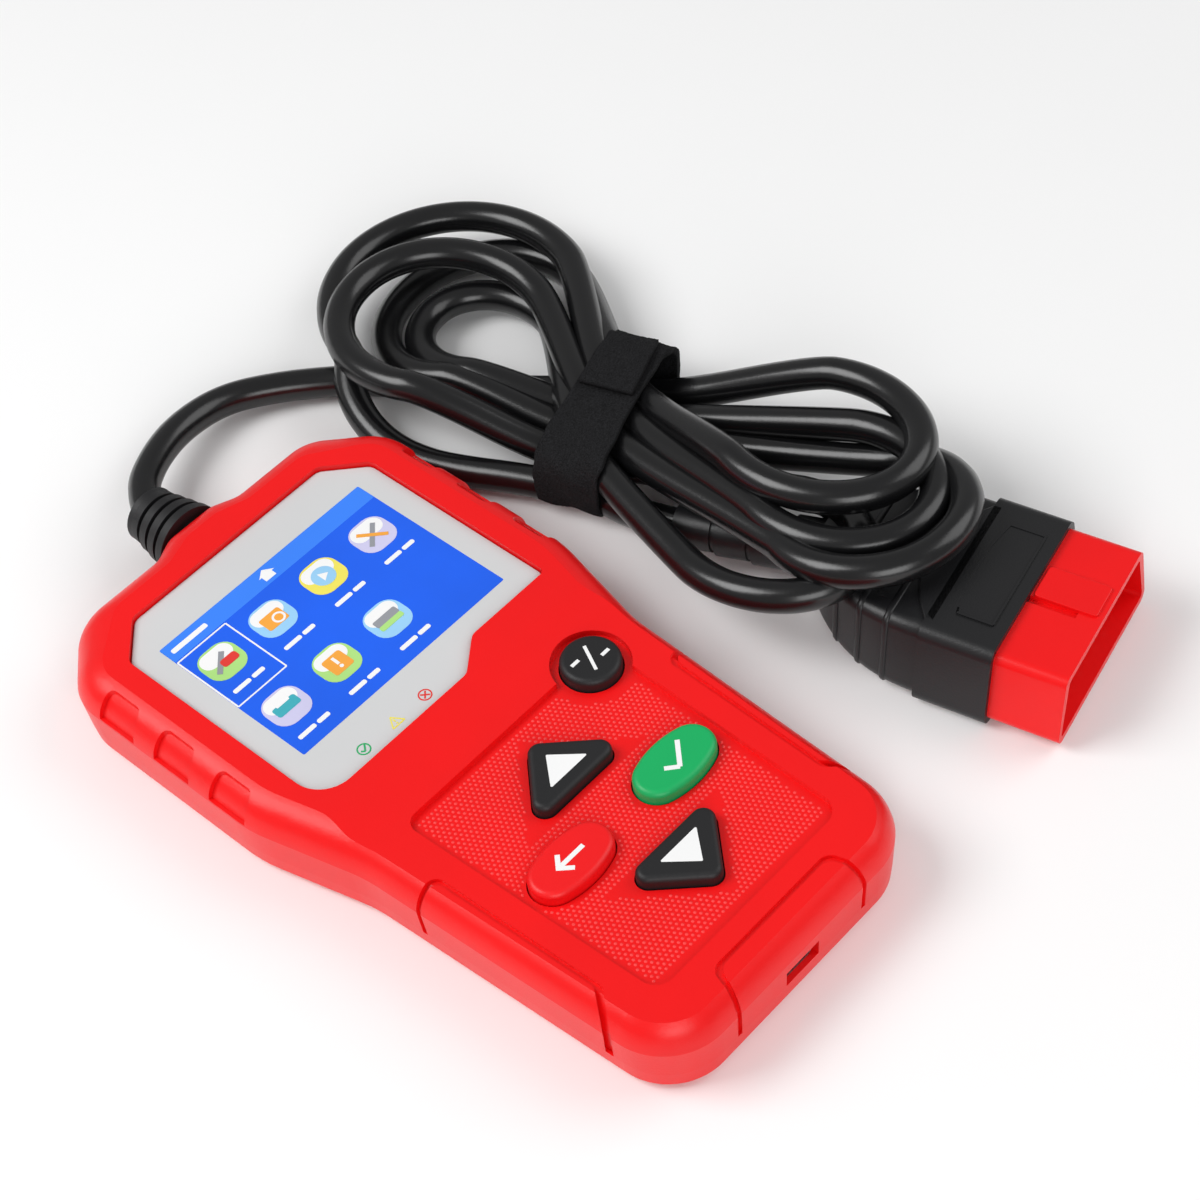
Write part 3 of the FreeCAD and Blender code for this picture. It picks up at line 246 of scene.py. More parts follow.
ICON = {
    name: surface("icon_" + name, colour, 0.2, grain=500, bump=0.01, mottle=0.12, coat=0.3)
    for name, colour in (
        ("lime", (0.42, 0.74, 0.22)),
        ("sky", (0.32, 0.62, 0.90)),
        ("yellow", (0.88, 0.78, 0.12)),
        ("lavender", (0.62, 0.60, 0.84)),
        ("orange", (0.90, 0.38, 0.05)),
        ("red", (0.75, 0.04, 0.03)),
        ("teal", (0.05, 0.42, 0.50)),
        ("grey", (0.30, 0.31, 0.34)),
        ("green", (0.02, 0.42, 0.14)))
}

NODE_FINISH = {
    RED: ("front_shell", "back_shell", "plug_shroud", "plug_pin_carrier"),
    PLATE: ("display_plate", "lcd_panel"),
    BLACK_RUBBER: ("up_key", "down_key", "round_key", "cable_strain_relief"),
    GREEN_RUBBER: ("enter_key",),
    RED_RUBBER: ("back_key",),
    WHITE_INK: ("up_key_arrow", "down_key_arrow"),
    PLUG_BLACK: ("plug_overmold", "plug_relief"),
    CABLE: ("cable_lead", "cable_tail", "folded_cable", "cable_wires"),
    TIE: ("cable_tie",),
    STEEL: ("housing_screws", "board_screws", "lcd_tray", "usb_socket"),
    PIN: ("plug_pins",),
    LABEL: ("rear_label",),
    BOARD: ("main_board",),
    CHIP: ("board_chips", "buzzer", "up_key_contact", "down_key_contact", "back_key_contact",
           "enter_key_contact", "round_key_contact"),
    AMBER: ("lcd_ribbon",),
    GUIDE: ("light_guides", "status_leds"),
    NYLON: ("cable_socket",),
    MAT: ("keypad_mat",),
}


# ------------------------------------------------------------------ mesh helpers

STEP_UP = 0.012
ROUND_SIDES = 28


def mesh_object(name, bm, smooth=False):
    """New object from a bmesh."""
    data = bpy.data.meshes.new(name)
    bm.to_mesh(data)
    bm.free()
    for face in data.polygons:
        face.use_smooth = smooth
    thing = bpy.data.objects.new(name, data)
    bpy.context.collection.objects.link(thing)
    return thing


def add_prism(bm, outline, low, high):
    """Closed straight-sided solid over an outline, from level low to high."""
    lower = [bm.verts.new(mm(x, y, low)) for x, y in outline]
    upper = [bm.verts.new(mm(x, y, high)) for x, y in outline]
    bm.faces.new(lower)
    bm.faces.new(upper)
    for i in range(len(outline)):
        bm.faces.new((lower[i - 1], lower[i], upper[i], upper[i - 1]))


def soften_edges(piece, width):
    bevel = piece.modifiers.new("soften", "BEVEL")
    bevel.width = width * MM
    bevel.segments = 2
    bevel.limit_method = "ANGLE"


def inlay(name, outlines, low, high, material, body="root", soften=0.0):
    """Thin raised pieces over closed outlines given in millimetres, from level low to high.

    Each outline stands a hair above the one before it, so that no two tops lie in one plane.
    """
    bm = bmesh.new()
    for i, outline in enumerate(outlines):
        add_prism(bm, outline, low, high + STEP_UP * i)
    bmesh.ops.recalc_face_normals(bm, faces=bm.faces)
    piece = mesh_object(name, bm)
    if soften:
        soften_edges(piece, soften)
    finish(piece, material)
    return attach(piece, body)


def turns(count):
    """Angles once round, both ends included."""
    return [2 * math.pi * i / count for i in range(count + 1)]


def around(x, y, radius, angles):
    """Points at the given angles round (x, y)."""
    return [(x + radius * math.cos(a), y + radius * math.sin(a)) for a in angles]


def disc(x, y, radius):
    return around(x, y, radius, turns(ROUND_SIDES)[:-1])


def ring(x, y, outer, inner):
    """Annulus as one outline with a hairline cut."""
    angles = turns(ROUND_SIDES)
    return around(x, y, outer, angles) + around(x, y, inner, reversed(angles))


def soft_box(x, y, wide, tall, radius, steps=6):
    """Rounded rectangle centred at (x, y)."""
    points = []
    for quarter, (side_x, side_y) in enumerate(((1, 1), (-1, 1), (-1, -1), (1, -1))):
        corner_x = x + side_x * (wide / 2 - radius)
        corner_y = y + side_y * (tall / 2 - radius)
        angles = [math.pi / 2 * (quarter + i / steps) for i in range(steps + 1)]
        points += around(corner_x, corner_y, radius, angles)
    return points


def bar(x0, y0, x1, y1, thick):
    """Straight stroke between two points."""
    length = math.hypot(x1 - x0, y1 - y0)
    ux = (x1 - x0) / length * thick / 2
    uy = (y1 - y0) / length * thick / 2
    return [(x0 - uy, y0 + ux), (x0 + uy, y0 - ux), (x1 + uy, y1 - ux), (x1 - uy, y1 + ux)]


def strokes_round(corners, thick):
    """A bar along each side of a closed outline."""
    return [bar(*a, *b, thick) for a, b in zip(corners, corners[1:] + corners[:1])]


def shifted(outlines, x, y):
    """Outlines drawn about their own centre, moved to (x, y)."""
    return [[(x + px, y + py) for px, py in outline] for outline in outlines]


# ------------------------------------------------------------------ cable

CABLE_DIA = 7.2
WAIST = (81.5, 38.6)
TIE_TURN = math.radians(18.0)

# Out of the housing, then down to the table and in under the tie.
LEAD = [(0.0, 100.0, 10.0), (3.0, 106.5, 9.7), (11.5, 112.5, 8.8), (23.0, 117.0, 7.2),
        (36.5, 117.2, 5.4), (47.5, 110.8, 4.2), (55.5, 103.5, 3.8)]
LEAD_IN = [(62.0, 96.0, 3.8), (67.0, 87.0, 3.8), (73.0, 76.5, 3.8), (82.0, 62.0, 4.4)]

# One row for each figure-eight turn, in the order in which the cable runs through them:
# place in the lower layer under the tie, near loop, place in the upper layer, far loop.
# A loop is centre x and y, half width, half length, and its height at its start, tip and end.
TURNS = [
    (13.4, (95.5, -10.0, 18.5, 24.0, 23.0, 27.2, 25.0),
     11.0, (92.0, 86.0, 25.0, 23.0, 4.0, 4.0, 10.8)),
    (-1.0, (87.0, -30.0, 20.0, 21.0, 14.5, 26.4, 20.5),
     -3.7, (79.0, 85.5, 23.5, 25.5, 11.4, 15.0, 17.8)),
    (-8.4, (72.6, -14.8, 16.5, 22.5, 10.5, 19.4, 14.0),
     -11.0, (87.0, 80.5, 15.0, 17.5, 4.0, 5.5, 10.8)),
    (6.2, (89.3, -20.5, 17.8, 22.0, 19.5, 24.2, 21.6),
     3.7, (88.5, 92.0, 28.5, 29.5, 11.2, 11.0, 11.4)),
]

# From the last far loop, past the head of the unit and in under the tie's left end.
LAST_STRETCH = [(55.0, 94.0, 8.6), (50.9, 85.5, 6.4), (49.6, 76.0, 4.6), (51.4, 66.0, 3.8),
                (55.2, 56.3, 4.2), (59.6, 46.5, 5.0), (63.4, 37.0, 5.2)]
# Into the plug's relief.
TAIL = [(67.0, 27.0, 5.2), (67.2, 21.0, 5.2), (68.2, 14.5, 5.6), (70.0, 8.0, 6.4)]

# The two layers of strands under the tie: their heights, and the ways in which they run.
LOW_LEVEL, HIGH_LEVEL = 5.2, 12.2
LOW_WAY, HIGH_WAY = (0.48, -0.88), (0.42, 0.91)
CROSSING_HALF = 8

# Each loop runs from its first angle to its last, in degrees; the last far loop opens early.
LOOP_POINTS = 13
FIRST_ANGLE, LAST_ANGLE, OPEN_ANGLE = -32, 212, 168


def loop_level(start, tip, end, share):
    """Height along a loop: one rise from its start to its tip, another from its end."""
    foot = start if share < 0.5 else end
    return foot + (tip - foot) * math.sin(math.pi * share)


def loop_points(loop, way, last_angle=LAST_ANGLE):
    """Right side, tip and left side of a loop; way is 1 for a far loop and -1 for a near one."""
    x, y, half_wide, half_long, start, tip, end = loop
    points = []
    for i in range(LOOP_POINTS):
        share = i / (LOOP_POINTS - 1)
        angle = math.radians(FIRST_ANGLE + (last_angle - FIRST_ANGLE) * share)
        points.append((x + half_wide * math.cos(angle),
                       y + way * half_long * math.sin(angle),
                       loop_level(start, tip, end, share)))
    return points


def crossing(place, way, level):
    """Two points that hold the cable straight as it passes under the tie."""
    x = WAIST[0] + place * math.cos(TIE_TURN)
    y = WAIST[1] + place * math.sin(TIE_TURN)
    reach_x, reach_y = CROSSING_HALF * way[0], CROSSING_HALF * way[1]
    return [(x - reach_x, y - reach_y, level), (x + reach_x, y + reach_y, level)]


def cable_points():
    """The whole route, from the housing to the plug."""
    points = LEAD + LEAD_IN
    for i, (low_place, near, high_place, far) in enumerate(TURNS):
        last = i == len(TURNS) - 1
        points += crossing(low_place, LOW_WAY, LOW_LEVEL)
        points += loop_points(near, -1)
        points += crossing(high_place, HIGH_WAY, HIGH_LEVEL)
        points += loop_points(far, 1, OPEN_ANGLE if last else LAST_ANGLE)
    return points + LAST_STRETCH + TAIL


def add_cable():
    """One round cord along the whole route."""
    data = bpy.data.curves.new("cable", "CURVE")
    data.dimensions = "3D"
    data.bevel_depth = CABLE_DIA / 2 * MM
    data.bevel_resolution = 6
    data.resolution_u = 8
    data.use_fill_caps = True
    spline = data.splines.new("NURBS")
    points = cable_points()
    spline.points.add(len(points) - 1)
    for knot, point in zip(spline.points, points):
        knot.co = (*mm(*point), 1.0)
    spline.order_u = 3
    spline.use_endpoint_u = True
    cable = bpy.data.objects.new("cable", data)
    bpy.context.collection.objects.link(cable)
    finish(cable, CABLE)
    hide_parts("cable_lead", "cable_tail", "folded_cable")
    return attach(cable, "root")


# ------------------------------------------------------------------ tie

TIE_INNER_WIDE, TIE_INNER_TALL = 42.0, 15.2
TIE_WIDE, TIE_THICK, TIE_LOW = 15.0, 1.5, 0.35
TIE_PLACE = Matrix.Translation(mm(*WAIST, 0)) @ Matrix.Rotation(TIE_TURN, 4, "Z")
TIE_SECTIONS, TIE_ACROSS = 280, 44
# The loop is a circle drawn out towards a rectangle; 1 would leave it round.
TIE_ROUNDNESS = 0.52
TIE_NAP, TIE_RIPPLE, TIE_PINCH = 0.11, 0.28, 0.05

END_START, END_LONG, END_WIDE, END_THICK = 1.0, 19.0, 12.6, 1.2
END_STEPS, END_ACROSS, END_NAP = 60, 30, 0.09
# The end lies flat for its first share, then droops; it narrows, skews and cups as it goes.
END_LIFT, END_FLAT, END_DROOP = 0.15, 0.45, 26 / 3
END_NARROW, END_SKEW, END_CUP = 0.22, 0.6, 0.35


def towards_square(value):
    return math.copysign(abs(value) ** TIE_ROUNDNESS, value)


def tie_row(bm, angle):
    """Points across the band at one angle round it, inner and outer by turns."""
    across_x = towards_square(math.cos(angle))
    across_z = towards_square(math.sin(angle))
    middle_z = TIE_LOW + TIE_THICK + TIE_INNER_TALL / 2
    row = []
    for j in range(TIE_ACROSS + 1):
        share = j / TIE_ACROSS - 0.5
        pinch = 1.0 - TIE_PINCH * math.cos(math.pi * share) * max(across_z, 0.0)
        ripple = (TIE_RIPPLE * math.sin(5 * angle + 9 * share)
                  + random.uniform(-TIE_NAP, TIE_NAP))
        waver = 1 + 0.035 * math.sin(3 * angle + 1.0) + 0.02 * math.sin(11 * angle)
        for outside in (0, 1):
            half_x = TIE_INNER_WIDE / 2 + outside * (TIE_THICK + ripple)
            half_z = (TIE_INNER_TALL / 2 + outside * (TIE_THICK + 0.5 * ripple)) * pinch
            z = max(middle_z + across_z * half_z, TIE_LOW)
            row.append(bm.verts.new(mm(across_x * half_x, share * TIE_WIDE * waver, z)))
    return row


def join_tie_rows(bm, row, following):
    """Inner face, outer face and both edges of the band between two rows."""
    for j in range(TIE_ACROSS):
        for side in (0, 1):
            a, b = 2 * j + side, 2 * (j + 1) + side
            bm.faces.new((row[a], row[b], following[b], following[a]))
    for j in (0, TIE_ACROSS):
        inner, outer = 2 * j, 2 * j + 1
        bm.faces.new((row[inner], row[outer], following[outer], following[inner]))


def add_tie():
    """Hook-and-loop band: a closed rounded loop round the bundle, with a puckered napped face."""
    bm = bmesh.new()
    rows = [tie_row(bm, angle) for angle in turns(TIE_SECTIONS)[:-1]]
    for i, row in enumerate(rows):
        join_tie_rows(bm, row, rows[(i + 1) % TIE_SECTIONS])
    bmesh.ops.recalc_face_normals(bm, faces=bm.faces)
    tie = mesh_object("tie", bm, smooth=True)
    tie.matrix_world = TIE_PLACE
    finish(tie, TIE)
    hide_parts("cable_tie")
    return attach(tie, "root")


def end_grid(bm, lift, nap):
    """One face of the loose end, as rows of points along its length."""
    top = TIE_LOW + 2 * TIE_THICK + TIE_INNER_TALL
    grid = []
    for i in range(END_STEPS + 1):
        share = i / END_STEPS
        x = END_START + END_LONG * share
        level = top + END_LIFT - END_DROOP * max(share - END_FLAT, 0) ** 2
        half = END_WIDE / 2 * (1 - END_NARROW * share ** 3)
        row = []
        for j in range(END_ACROSS + 1):
            side = j / END_ACROSS * 2 - 1
            fuzz = random.uniform(-nap, nap) if nap else 0.0
            z = level + lift + END_CUP * side ** 2 * share + fuzz
            row.append(bm.verts.new(mm(x, half * side + END_SKEW * share, z)))
        grid.append(row)
    return grid


def close_slab(bm, low, high):
    """Faces over both grids and round their four edges."""
    long, across = len(low) - 1, len(low[0]) - 1
    for grid in (low, high):
        for i in range(long):
            for j in range(across):
                bm.faces.new((grid[i][j], grid[i + 1][j], grid[i + 1][j + 1], grid[i][j + 1]))
    for i in range(long):
        for j in (0, across):
            bm.faces.new((low[i][j], low[i + 1][j], high[i + 1][j], high[i][j]))
    for j in range(across):
        for i in (0, long):
            bm.faces.new((low[i][j], low[i][j + 1], high[i][j + 1], high[i][j]))


def add_tie_end():
    """Loose end of the band: lies on its top and droops past its right edge."""
    bm = bmesh.new()
    low = end_grid(bm, 0.0, 0.0)
    high = end_grid(bm, END_THICK, END_NAP)
    close_slab(bm, low, high)
    bmesh.ops.recalc_face_normals(bm, faces=bm.faces)
    end = mesh_object("tie_end", bm, smooth=True)
    end.matrix_world = TIE_PLACE
    finish(end, TIE)
    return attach(end, "root")


# ------------------------------------------------------------------ keypad floor, key marks

KEYS_Y = -40.0
OVAL_KEY_X = 14.9
ROUND_KEY = (23.4, -10.3)
MARK_LOW, MARK_HIGH = 20.12, 20.26

PAD_LEVEL = 17.2
DOME_RADIUS, DOME_TALL, DOME_PITCH, DOME_SIDES = 0.36, 0.20, 1.15, 6
# The recess flares upwards; the domes keep a margin from its sides, its foot and its head.
PAD_FOOT, PAD_LONG = -72.0, 63.6
PAD_HALF, PAD_FLARE, PAD_MARGIN = 26.2, 2.1, 1.6
DOMES_FOOT, DOMES_HEAD = -70.0, -10.2
# The rows of domes are tried over this rectangle.
ROWS_X, ROWS_FOOT, ROWS_HEAD = 29.0, -71.0, -9.0
# Room that each kind of key takes out of the pattern.
OVAL_ROOM_X, OVAL_ROOM_Y = 11.2, 7.0
ARROW_BASE, ARROW_ROOM_BELOW, ARROW_ROOM_ABOVE = 10.8, -1.6, 17.0
ARROW_ROOM_HALF, ARROW_ROOM_TIP = 15.6, 17.4
ROUND_ROOM = 9.4


def near_oval_key(x, y, side):
    """True round the green key (side 1) or the red one (side -1)."""
    across = (x - OVAL_KEY_X * side) / OVAL_ROOM_X
    along = (y - KEYS_Y) / OVAL_ROOM_Y
    return across ** 2 + along ** 2 < 1


def near_arrow_key(x, y, way):
    """True round the upper triangular key (way 1) or the lower one (way -1)."""
    along = way * (y - KEYS_Y) - ARROW_BASE
    half = ARROW_ROOM_HALF * (1 - along / ARROW_ROOM_TIP)
    return ARROW_ROOM_BELOW < along < ARROW_ROOM_ABOVE and abs(x) < half


def near_round_key(x, y):
    return (x - ROUND_KEY[0]) ** 2 + (y - ROUND_KEY[1]) ** 2 <= ROUND_ROOM ** 2


def clear_of_keys(x, y):
    """True where the keypad floor is bare, away from the keys and the recess's own edge."""
    half = PAD_HALF + PAD_FLARE * (y - PAD_FOOT) / PAD_LONG - PAD_MARGIN
    if abs(x) > half or not DOMES_FOOT < y < DOMES_HEAD:
        return False
    if near_oval_key(x, y, -1) or near_oval_key(x, y, 1):
        return False
    if near_arrow_key(x, y, 1) or near_arrow_key(x, y, -1):
        return False
    return not near_round_key(x, y)


def add_dome(bm, x, y):
    """One low dome: sloping sides up to a top half as wide as its foot."""
    angles = turns(DOME_SIDES)[:-1]
    base = [bm.verts.new(mm(px, py, PAD_LEVEL)) for px, py in around(x, y, DOME_RADIUS, angles)]
    top = [bm.verts.new(mm(px, py, PAD_LEVEL + DOME_TALL))
           for px, py in around(x, y, DOME_RADIUS * 0.5, angles)]
    for i in range(DOME_SIDES):
        following = (i + 1) % DOME_SIDES
        bm.faces.new((base[i], base[following], top[following], top[i]))
    bm.faces.new(top)


def add_keypad_texture():
    """Close-set low domes over the keypad floor, in staggered rows, in a lighter red that is a
    painted highlight on their tops.
    """
    bm = bmesh.new()
    row, y = 0, ROWS_FOOT
    while y < ROWS_HEAD:
        x = -ROWS_X + (row % 2) * DOME_PITCH / 2
        while x < ROWS_X:
            if clear_of_keys(x, y):
                add_dome(bm, x, y)
            x += DOME_PITCH
        y += DOME_PITCH * math.sqrt(3) / 2
        row += 1
    bmesh.ops.recalc_face_normals(bm, faces=bm.faces)
    domes = mesh_object("keypad_texture", bm, smooth=True)
    finish(domes, DOT_HIGHLIGHT_RED)
    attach(domes, "root")


def key_mark(name, strokes, x, y, key):
    """Printed mark, drawn about its key's centre; it rides on that key."""
    inlay(name, shifted(strokes, x, y), MARK_LOW, MARK_HIGH, WHITE_INK, key)


def add_key_marks():
    """Plain generic marks on the oval and round keys."""
    tick = [bar(-3.2, -0.2, -0.9, -2.3, 1.0), bar(-0.9, -2.3, 3.6, 2.4, 1.0)]
    arrow = [bar(-3.4, 0.0, 3.6, 0.0, 1.0), bar(-3.6, -0.3, -1.2, 2.3, 1.0),
             bar(-3.6, 0.3, -1.2, -2.3, 1.0)]
    slash = [bar(-1.5, -3.0, 1.5, 3.0, 0.7), bar(-4.0, 1.4, -1.9, 1.4, 0.8),
             bar(1.9, -1.4, 4.0, -1.4, 0.8)]
    key_mark("enter_mark", tick, OVAL_KEY_X, KEYS_Y, "enter_key")
    key_mark("back_mark", arrow, -OVAL_KEY_X, KEYS_Y, "back_key")
    key_mark("round_mark", slash, *ROUND_KEY, "round_key")


# ------------------------------------------------------------------ screen

PLATE_TOP = 18.6
SCREEN_Y, SCREEN_WIDE, SCREEN_TALL = 40.5, 57.6, 43.2
HEADER_Y, HEADER_TALL = 59.6, 5.0
UPPER_ROW, LOWER_ROW = 49.6, 30.6
STATUS_Y = 10.5

# Width, height and corner radius of a menu icon's tile and of its lighter cap.
TILE, CAP = (9.3, 9.3, 3.4), (7.9, 4.4, 2.1)
CAP_RISE = 1.9
# Two bars under an icon, in place of its words, drawn about its centre.
CAPTION = [soft_box(-1.9, -8.0, 4.6, 1.1, 0.4, 3), soft_box(2.6, -8.0, 3.2, 1.1, 0.4, 3)]

# Foot and top of each printed layer, above the display plate.
FIELD_LAYER, HEADER_LAYER, FRAME_LAYER = (-0.05, 0.03), (0.0, 0.05), (0.03, 0.08)
TEXT_LAYER, TILE_LAYER, CAP_LAYER = (0.04, 0.09), (0.04, 0.10), (0.09, 0.12)
PICTURE_LAYERS = ((0.11, 0.16), (0.11, 0.19))
STATUS_LAYER = (-0.02, 0.05)

# Each menu icon: name, centre, tile colour, and its pictures drawn about the centre.
MENU = (
    ("icon_diagnose", -22.5, UPPER_ROW, "lime", (
        ([bar(-2.7, -2.2, 1.6, 2.1, 1.2)], "grey"),
        ([soft_box(1.3, -0.8, 4.2, 2.2, 0.7, 3)], "red"))),
    ("icon_lookup", -8.2, UPPER_ROW, "sky", (
        ([soft_box(0.0, -0.3, 5.4, 4.0, 0.5, 3)], "orange"),
        ([ring(1.0, -0.7, 1.5, 1.0)], "white"))),
    ("icon_review", 6.4, UPPER_ROW, "yellow", (
        ([disc(0.0, 0.0, 2.7)], "sky"),
        ([[(-0.7, 1.3), (-0.7, -1.3), (1.3, 0.0)]], "white"))),
    ("icon_setup", 20.9, UPPER_ROW, "lavender", (
        ([bar(-2.5, -2.4, 2.3, 2.4, 1.1)], "grey"),
        ([bar(-2.5, 2.4, 2.3, -2.4, 0.9)], "orange"))),
    ("icon_print", -22.4, LOWER_ROW, "lavender", (
        ([soft_box(0.0, 0.0, 6.0, 2.8, 0.6, 3)], "teal"),
        ([soft_box(0.0, 1.7, 3.4, 1.6, 0.2, 2)], "white"))),
    ("icon_help", -8.2, LOWER_ROW, "lime", (
        ([soft_box(0.0, -0.2, 5.0, 5.0, 0.6, 3)], "orange"),
        ([disc(0.0, -1.4, 0.45), bar(0.0, -0.6, 0.0, 1.6, 0.7)], "white"))),
    ("icon_battery", 6.4, LOWER_ROW, "sky", (
        ([soft_box(0.0, 0.5, 6.2, 2.0, 0.4, 3)], "grey"),
        ([soft_box(0.0, -1.2, 6.2, 1.4, 0.4, 3)], "lime"))),
)


def on_plate(name, outlines, layer, material):
    """Inlay in one of the layers above the display plate."""
    low, high = layer
    inlay(name, outlines, PLATE_TOP + low, PLATE_TOP + high, material)


def menu_icon(name, x, y, tile, pictures):
    """Rounded tile with a lighter cap, pictures of plain strokes, and two bars as its caption."""
    on_plate(name + "_tile", [soft_box(x, y, *TILE)], TILE_LAYER, ICON[tile])
    on_plate(name + "_cap", [soft_box(x, y + CAP_RISE, *CAP)], CAP_LAYER, WHITE_INK)
    for i, (outlines, ink) in enumerate(pictures):
        material = WHITE_INK if ink == "white" else ICON[ink]
        picture = "%s_picture_%d" % (name, i)
        on_plate(picture, shifted(outlines, x, y), PICTURE_LAYERS[i], material)
    on_plate(name + "_caption", shifted(CAPTION, x, y), TEXT_LAYER, WHITE_INK)


def add_header():
    """Lighter strip along the top of the screen, with a house and a bar for its title."""
    strip = soft_box(0, HEADER_Y, SCREEN_WIDE, HEADER_TALL, 0.3, 2)
    on_plate("screen_header", [strip], HEADER_LAYER, HEADER_BLUE)
    house = [(-0.6, 1.7), (-2.7, 0.0), (-2.0, 0.0), (-2.0, -1.5), (0.8, -1.5), (0.8, 0.0),
             (1.5, 0.0)]
    on_plate("screen_house", shifted([house], 0, HEADER_Y), TEXT_LAYER, WHITE_INK)
    title = soft_box(-22.6, HEADER_Y, 9.6, 1.3, 0.4, 3)
    on_plate("screen_title", [title], TEXT_LAYER, WHITE_INK)


def add_selection():
    """Thin frame round the first icon and its caption."""
    left, right, low, high = -28.6, -15.2, 38.2, 56.6
    corners = [(left, low), (right, low), (right, high), (left, high)]
    on_plate("screen_selection", strokes_round(corners, 0.35), FRAME_LAYER, WHITE_INK)


def add_screen():
    """Menu picture, all as thin layers on the window plate."""
    field = soft_box(0, SCREEN_Y, SCREEN_WIDE, SCREEN_TALL, 0.3, 2)
    on_plate("screen_field", [field], FIELD_LAYER, SCREEN_BLUE)
    add_header()
    add_selection()
    for icon in MENU:
        menu_icon(*icon)


def status_mark(name, x, strokes, ink):
    """Printed mark over a status light, drawn about the light's centre."""
    on_plate(name, shifted(strokes, x, STATUS_Y), STATUS_LAYER, ICON[ink])


def add_status_marks():
    """Rings and triangle over the three status lights."""
    circle = ring(0.0, 0.0, 1.5, 1.2)
    tick = [bar(-0.8, 0.0, -0.2, -0.6, 0.35), bar(-0.2, -0.6, 0.9, 0.8, 0.35)]
    cross = [bar(-0.7, -0.7, 0.7, 0.7, 0.35), bar(-0.7, 0.7, 0.7, -0.7, 0.35)]
    triangle = strokes_round([(0.0, 1.5), (-1.6, -1.1), (1.6, -1.1)], 0.3)
    stroke_and_dot = [bar(0.0, -0.1, 0.0, 0.7, 0.3), disc(0.0, -0.6, 0.2)]
    status_mark("status_good", -20.4, [circle] + tick, "green")
    status_mark("status_warn", -11.6, triangle + stroke_and_dot, "yellow")
    status_mark("status_fault", -3.1, [circle] + cross, "red")


# ------------------------------------------------------------------ plug details

# In the plug's own frame y is 0 where the shroud leaves the collar, and +Y runs to the cable.
PLUG_PLACE = Matrix.Translation(mm(92.05, -68.35)) @ Matrix.Rotation(math.radians(12.5), 4, "Z")

BOW_HALF, BOW_FOOT, BOW_START, BOW_RISE = 17, 14.0, 16.0, 7.0
PANEL_HALF, PANEL_FRONT, PANEL_REAR, PANEL_BOW, PANEL_STEPS = 13.0, 3.0, 10.8, 1.6, 16
GRIP_BARS_Y = (20.6, 24.2)

BANDS_Y = (23.5, 30.0, 36.5)
BAND_WIDE, BAND_PROUD, BAND_SIDES = 1.5, 0.4, 120
# Rays run in to the overmold from this far out, towards a line along its middle.
FAR_OUT, MIDDLE_LEVEL = 60.0, 9.0
# Across a band: buried edge, up, over and down again to the other buried edge.
BAND_PROFILE = ((-0.5, -0.4), (-0.5, 0.0), (-0.25, 1.0), (0.25, 1.0), (0.5, 0.0), (0.5, -0.4))


def plug_inlay(name, outlines, low, high, material=PLUG_BLACK, soften=0.15):
    """Inlay drawn in the plug's own frame."""
    piece = inlay(name, outlines, low, high, material, soften=soften)
    piece.matrix_world = PLUG_PLACE @ piece.matrix_world
    return piece


def collar_bow():
    """Raised rear edge of the collar, bowed towards the cable."""
    bow = [(x, BOW_START + BOW_RISE * (1 - (x / BOW_HALF) ** 2))
           for x in range(-BOW_HALF, BOW_HALF + 1, 2)]
    outline = [(BOW_HALF, BOW_FOOT), (-BOW_HALF, BOW_FOOT)] + bow
    return plug_inlay("plug_collar_bow", [outline], 18.0, 20.0, soften=0.4)


def panel_border():
    """Thin border of the panel on the collar: straight in front, bowed behind."""
    shares = [i / PANEL_STEPS * 2 - 1 for i in range(PANEL_STEPS + 1)]
    rear = [(PANEL_HALF * s, PANEL_REAR + PANEL_BOW * (1 - s ** 2)) for s in shares]
    front = [(PANEL_HALF * s, PANEL_FRONT) for s in reversed(shares)]
    return plug_inlay("plug_panel_border", strokes_round(rear + front, 0.45), 19.9, 20.0,
                      soften=0.0)


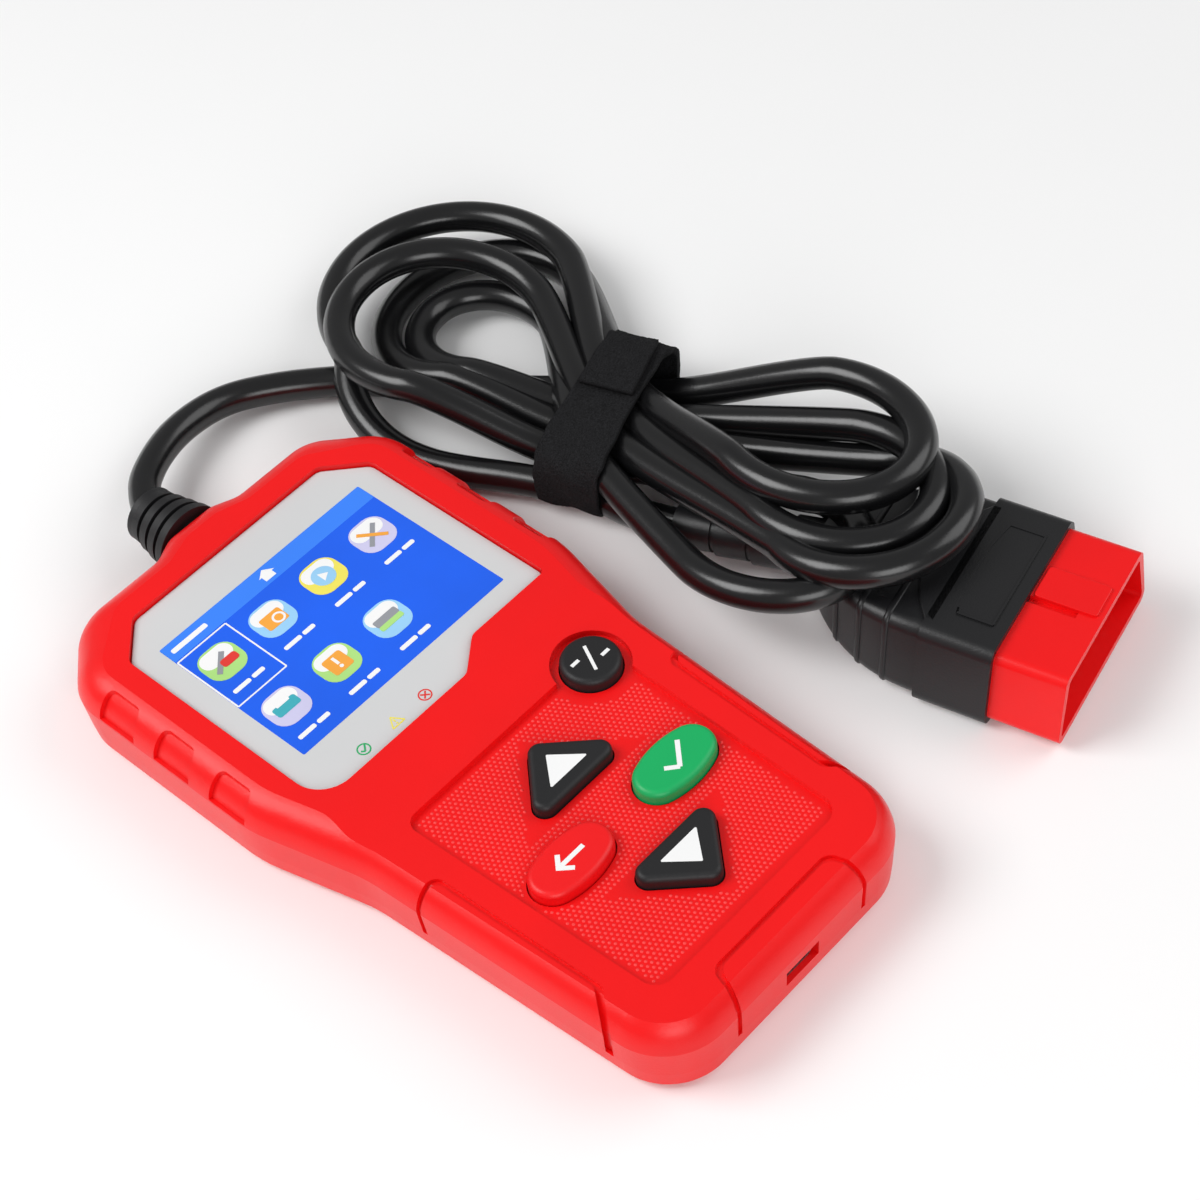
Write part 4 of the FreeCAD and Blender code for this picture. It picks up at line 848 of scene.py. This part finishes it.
def band_row(bm, skin, angle, y):
    """Points across a band at one angle round the overmold, laid on its surface."""
    outward = (PLUG_PLACE.to_3x3() @ Vector((math.cos(angle), 0, math.sin(angle)))).normalized()
    row = []
    for across, lift in BAND_PROFILE:
        axis = PLUG_PLACE @ mm(0, y + across * BAND_WIDE, MIDDLE_LEVEL)
        hit = skin.ray_cast(axis + outward * FAR_OUT * MM, -outward)[0]
        row.append(bm.verts.new(hit + outward * lift * BAND_PROUD * MM))
    return row


def plug_band(name, y):
    """Low band round the rear of the overmold, at y in the plug's own frame."""
    skin = BVHTree.FromObject(NODES["plug_overmold"], bpy.context.evaluated_depsgraph_get())
    bm = bmesh.new()
    rows = [band_row(bm, skin, angle, y) for angle in turns(BAND_SIDES)[:-1]]
    for i, row in enumerate(rows):
        before = rows[i - 1]
        for j in range(len(BAND_PROFILE)):
            bm.faces.new((row[j - 1], row[j], before[j], before[j - 1]))
    bmesh.ops.recalc_face_normals(bm, faces=bm.faces)
    band = mesh_object(name, bm, smooth=True)
    finish(band, PLUG_BLACK)
    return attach(band, "root")


def add_plug_details():
    """Raised key on the shroud, bowed collar edge, panel border, grip ribs and bands."""
    details = [
        plug_inlay("plug_key", [soft_box(2.7, -7.4, 8.4, 13.6, 0.8, 3)], 18.4, 19.2, RED),
        collar_bow(),
        panel_border(),
        plug_inlay("plug_grip_rib", [soft_box(-13.6, 22.5, 1.6, 11.0, 0.7, 3)], 16.0, 19.0,
                   soften=0.3),
    ]
    for i, y in enumerate(GRIP_BARS_Y):
        details.append(plug_inlay("plug_grip_bar_%d" % i, [soft_box(-12.4, y, 4.2, 1.2, 0.5, 3)],
                                  16.0, 18.7, soften=0.3))
    details += [plug_band("plug_band_%d" % i, y) for i, y in enumerate(BANDS_Y)]
    return details


# ------------------------------------------------------------------ assembly

for material, names in NODE_FINISH.items():
    for name in names:
        finish(NODES[name], material)

add_camera()
add_studio()
cable = add_cable()
tie = add_tie()
tie_end = add_tie_end()
add_keypad_texture()
add_key_marks()
add_screen()
add_status_marks()
plug_details = add_plug_details()
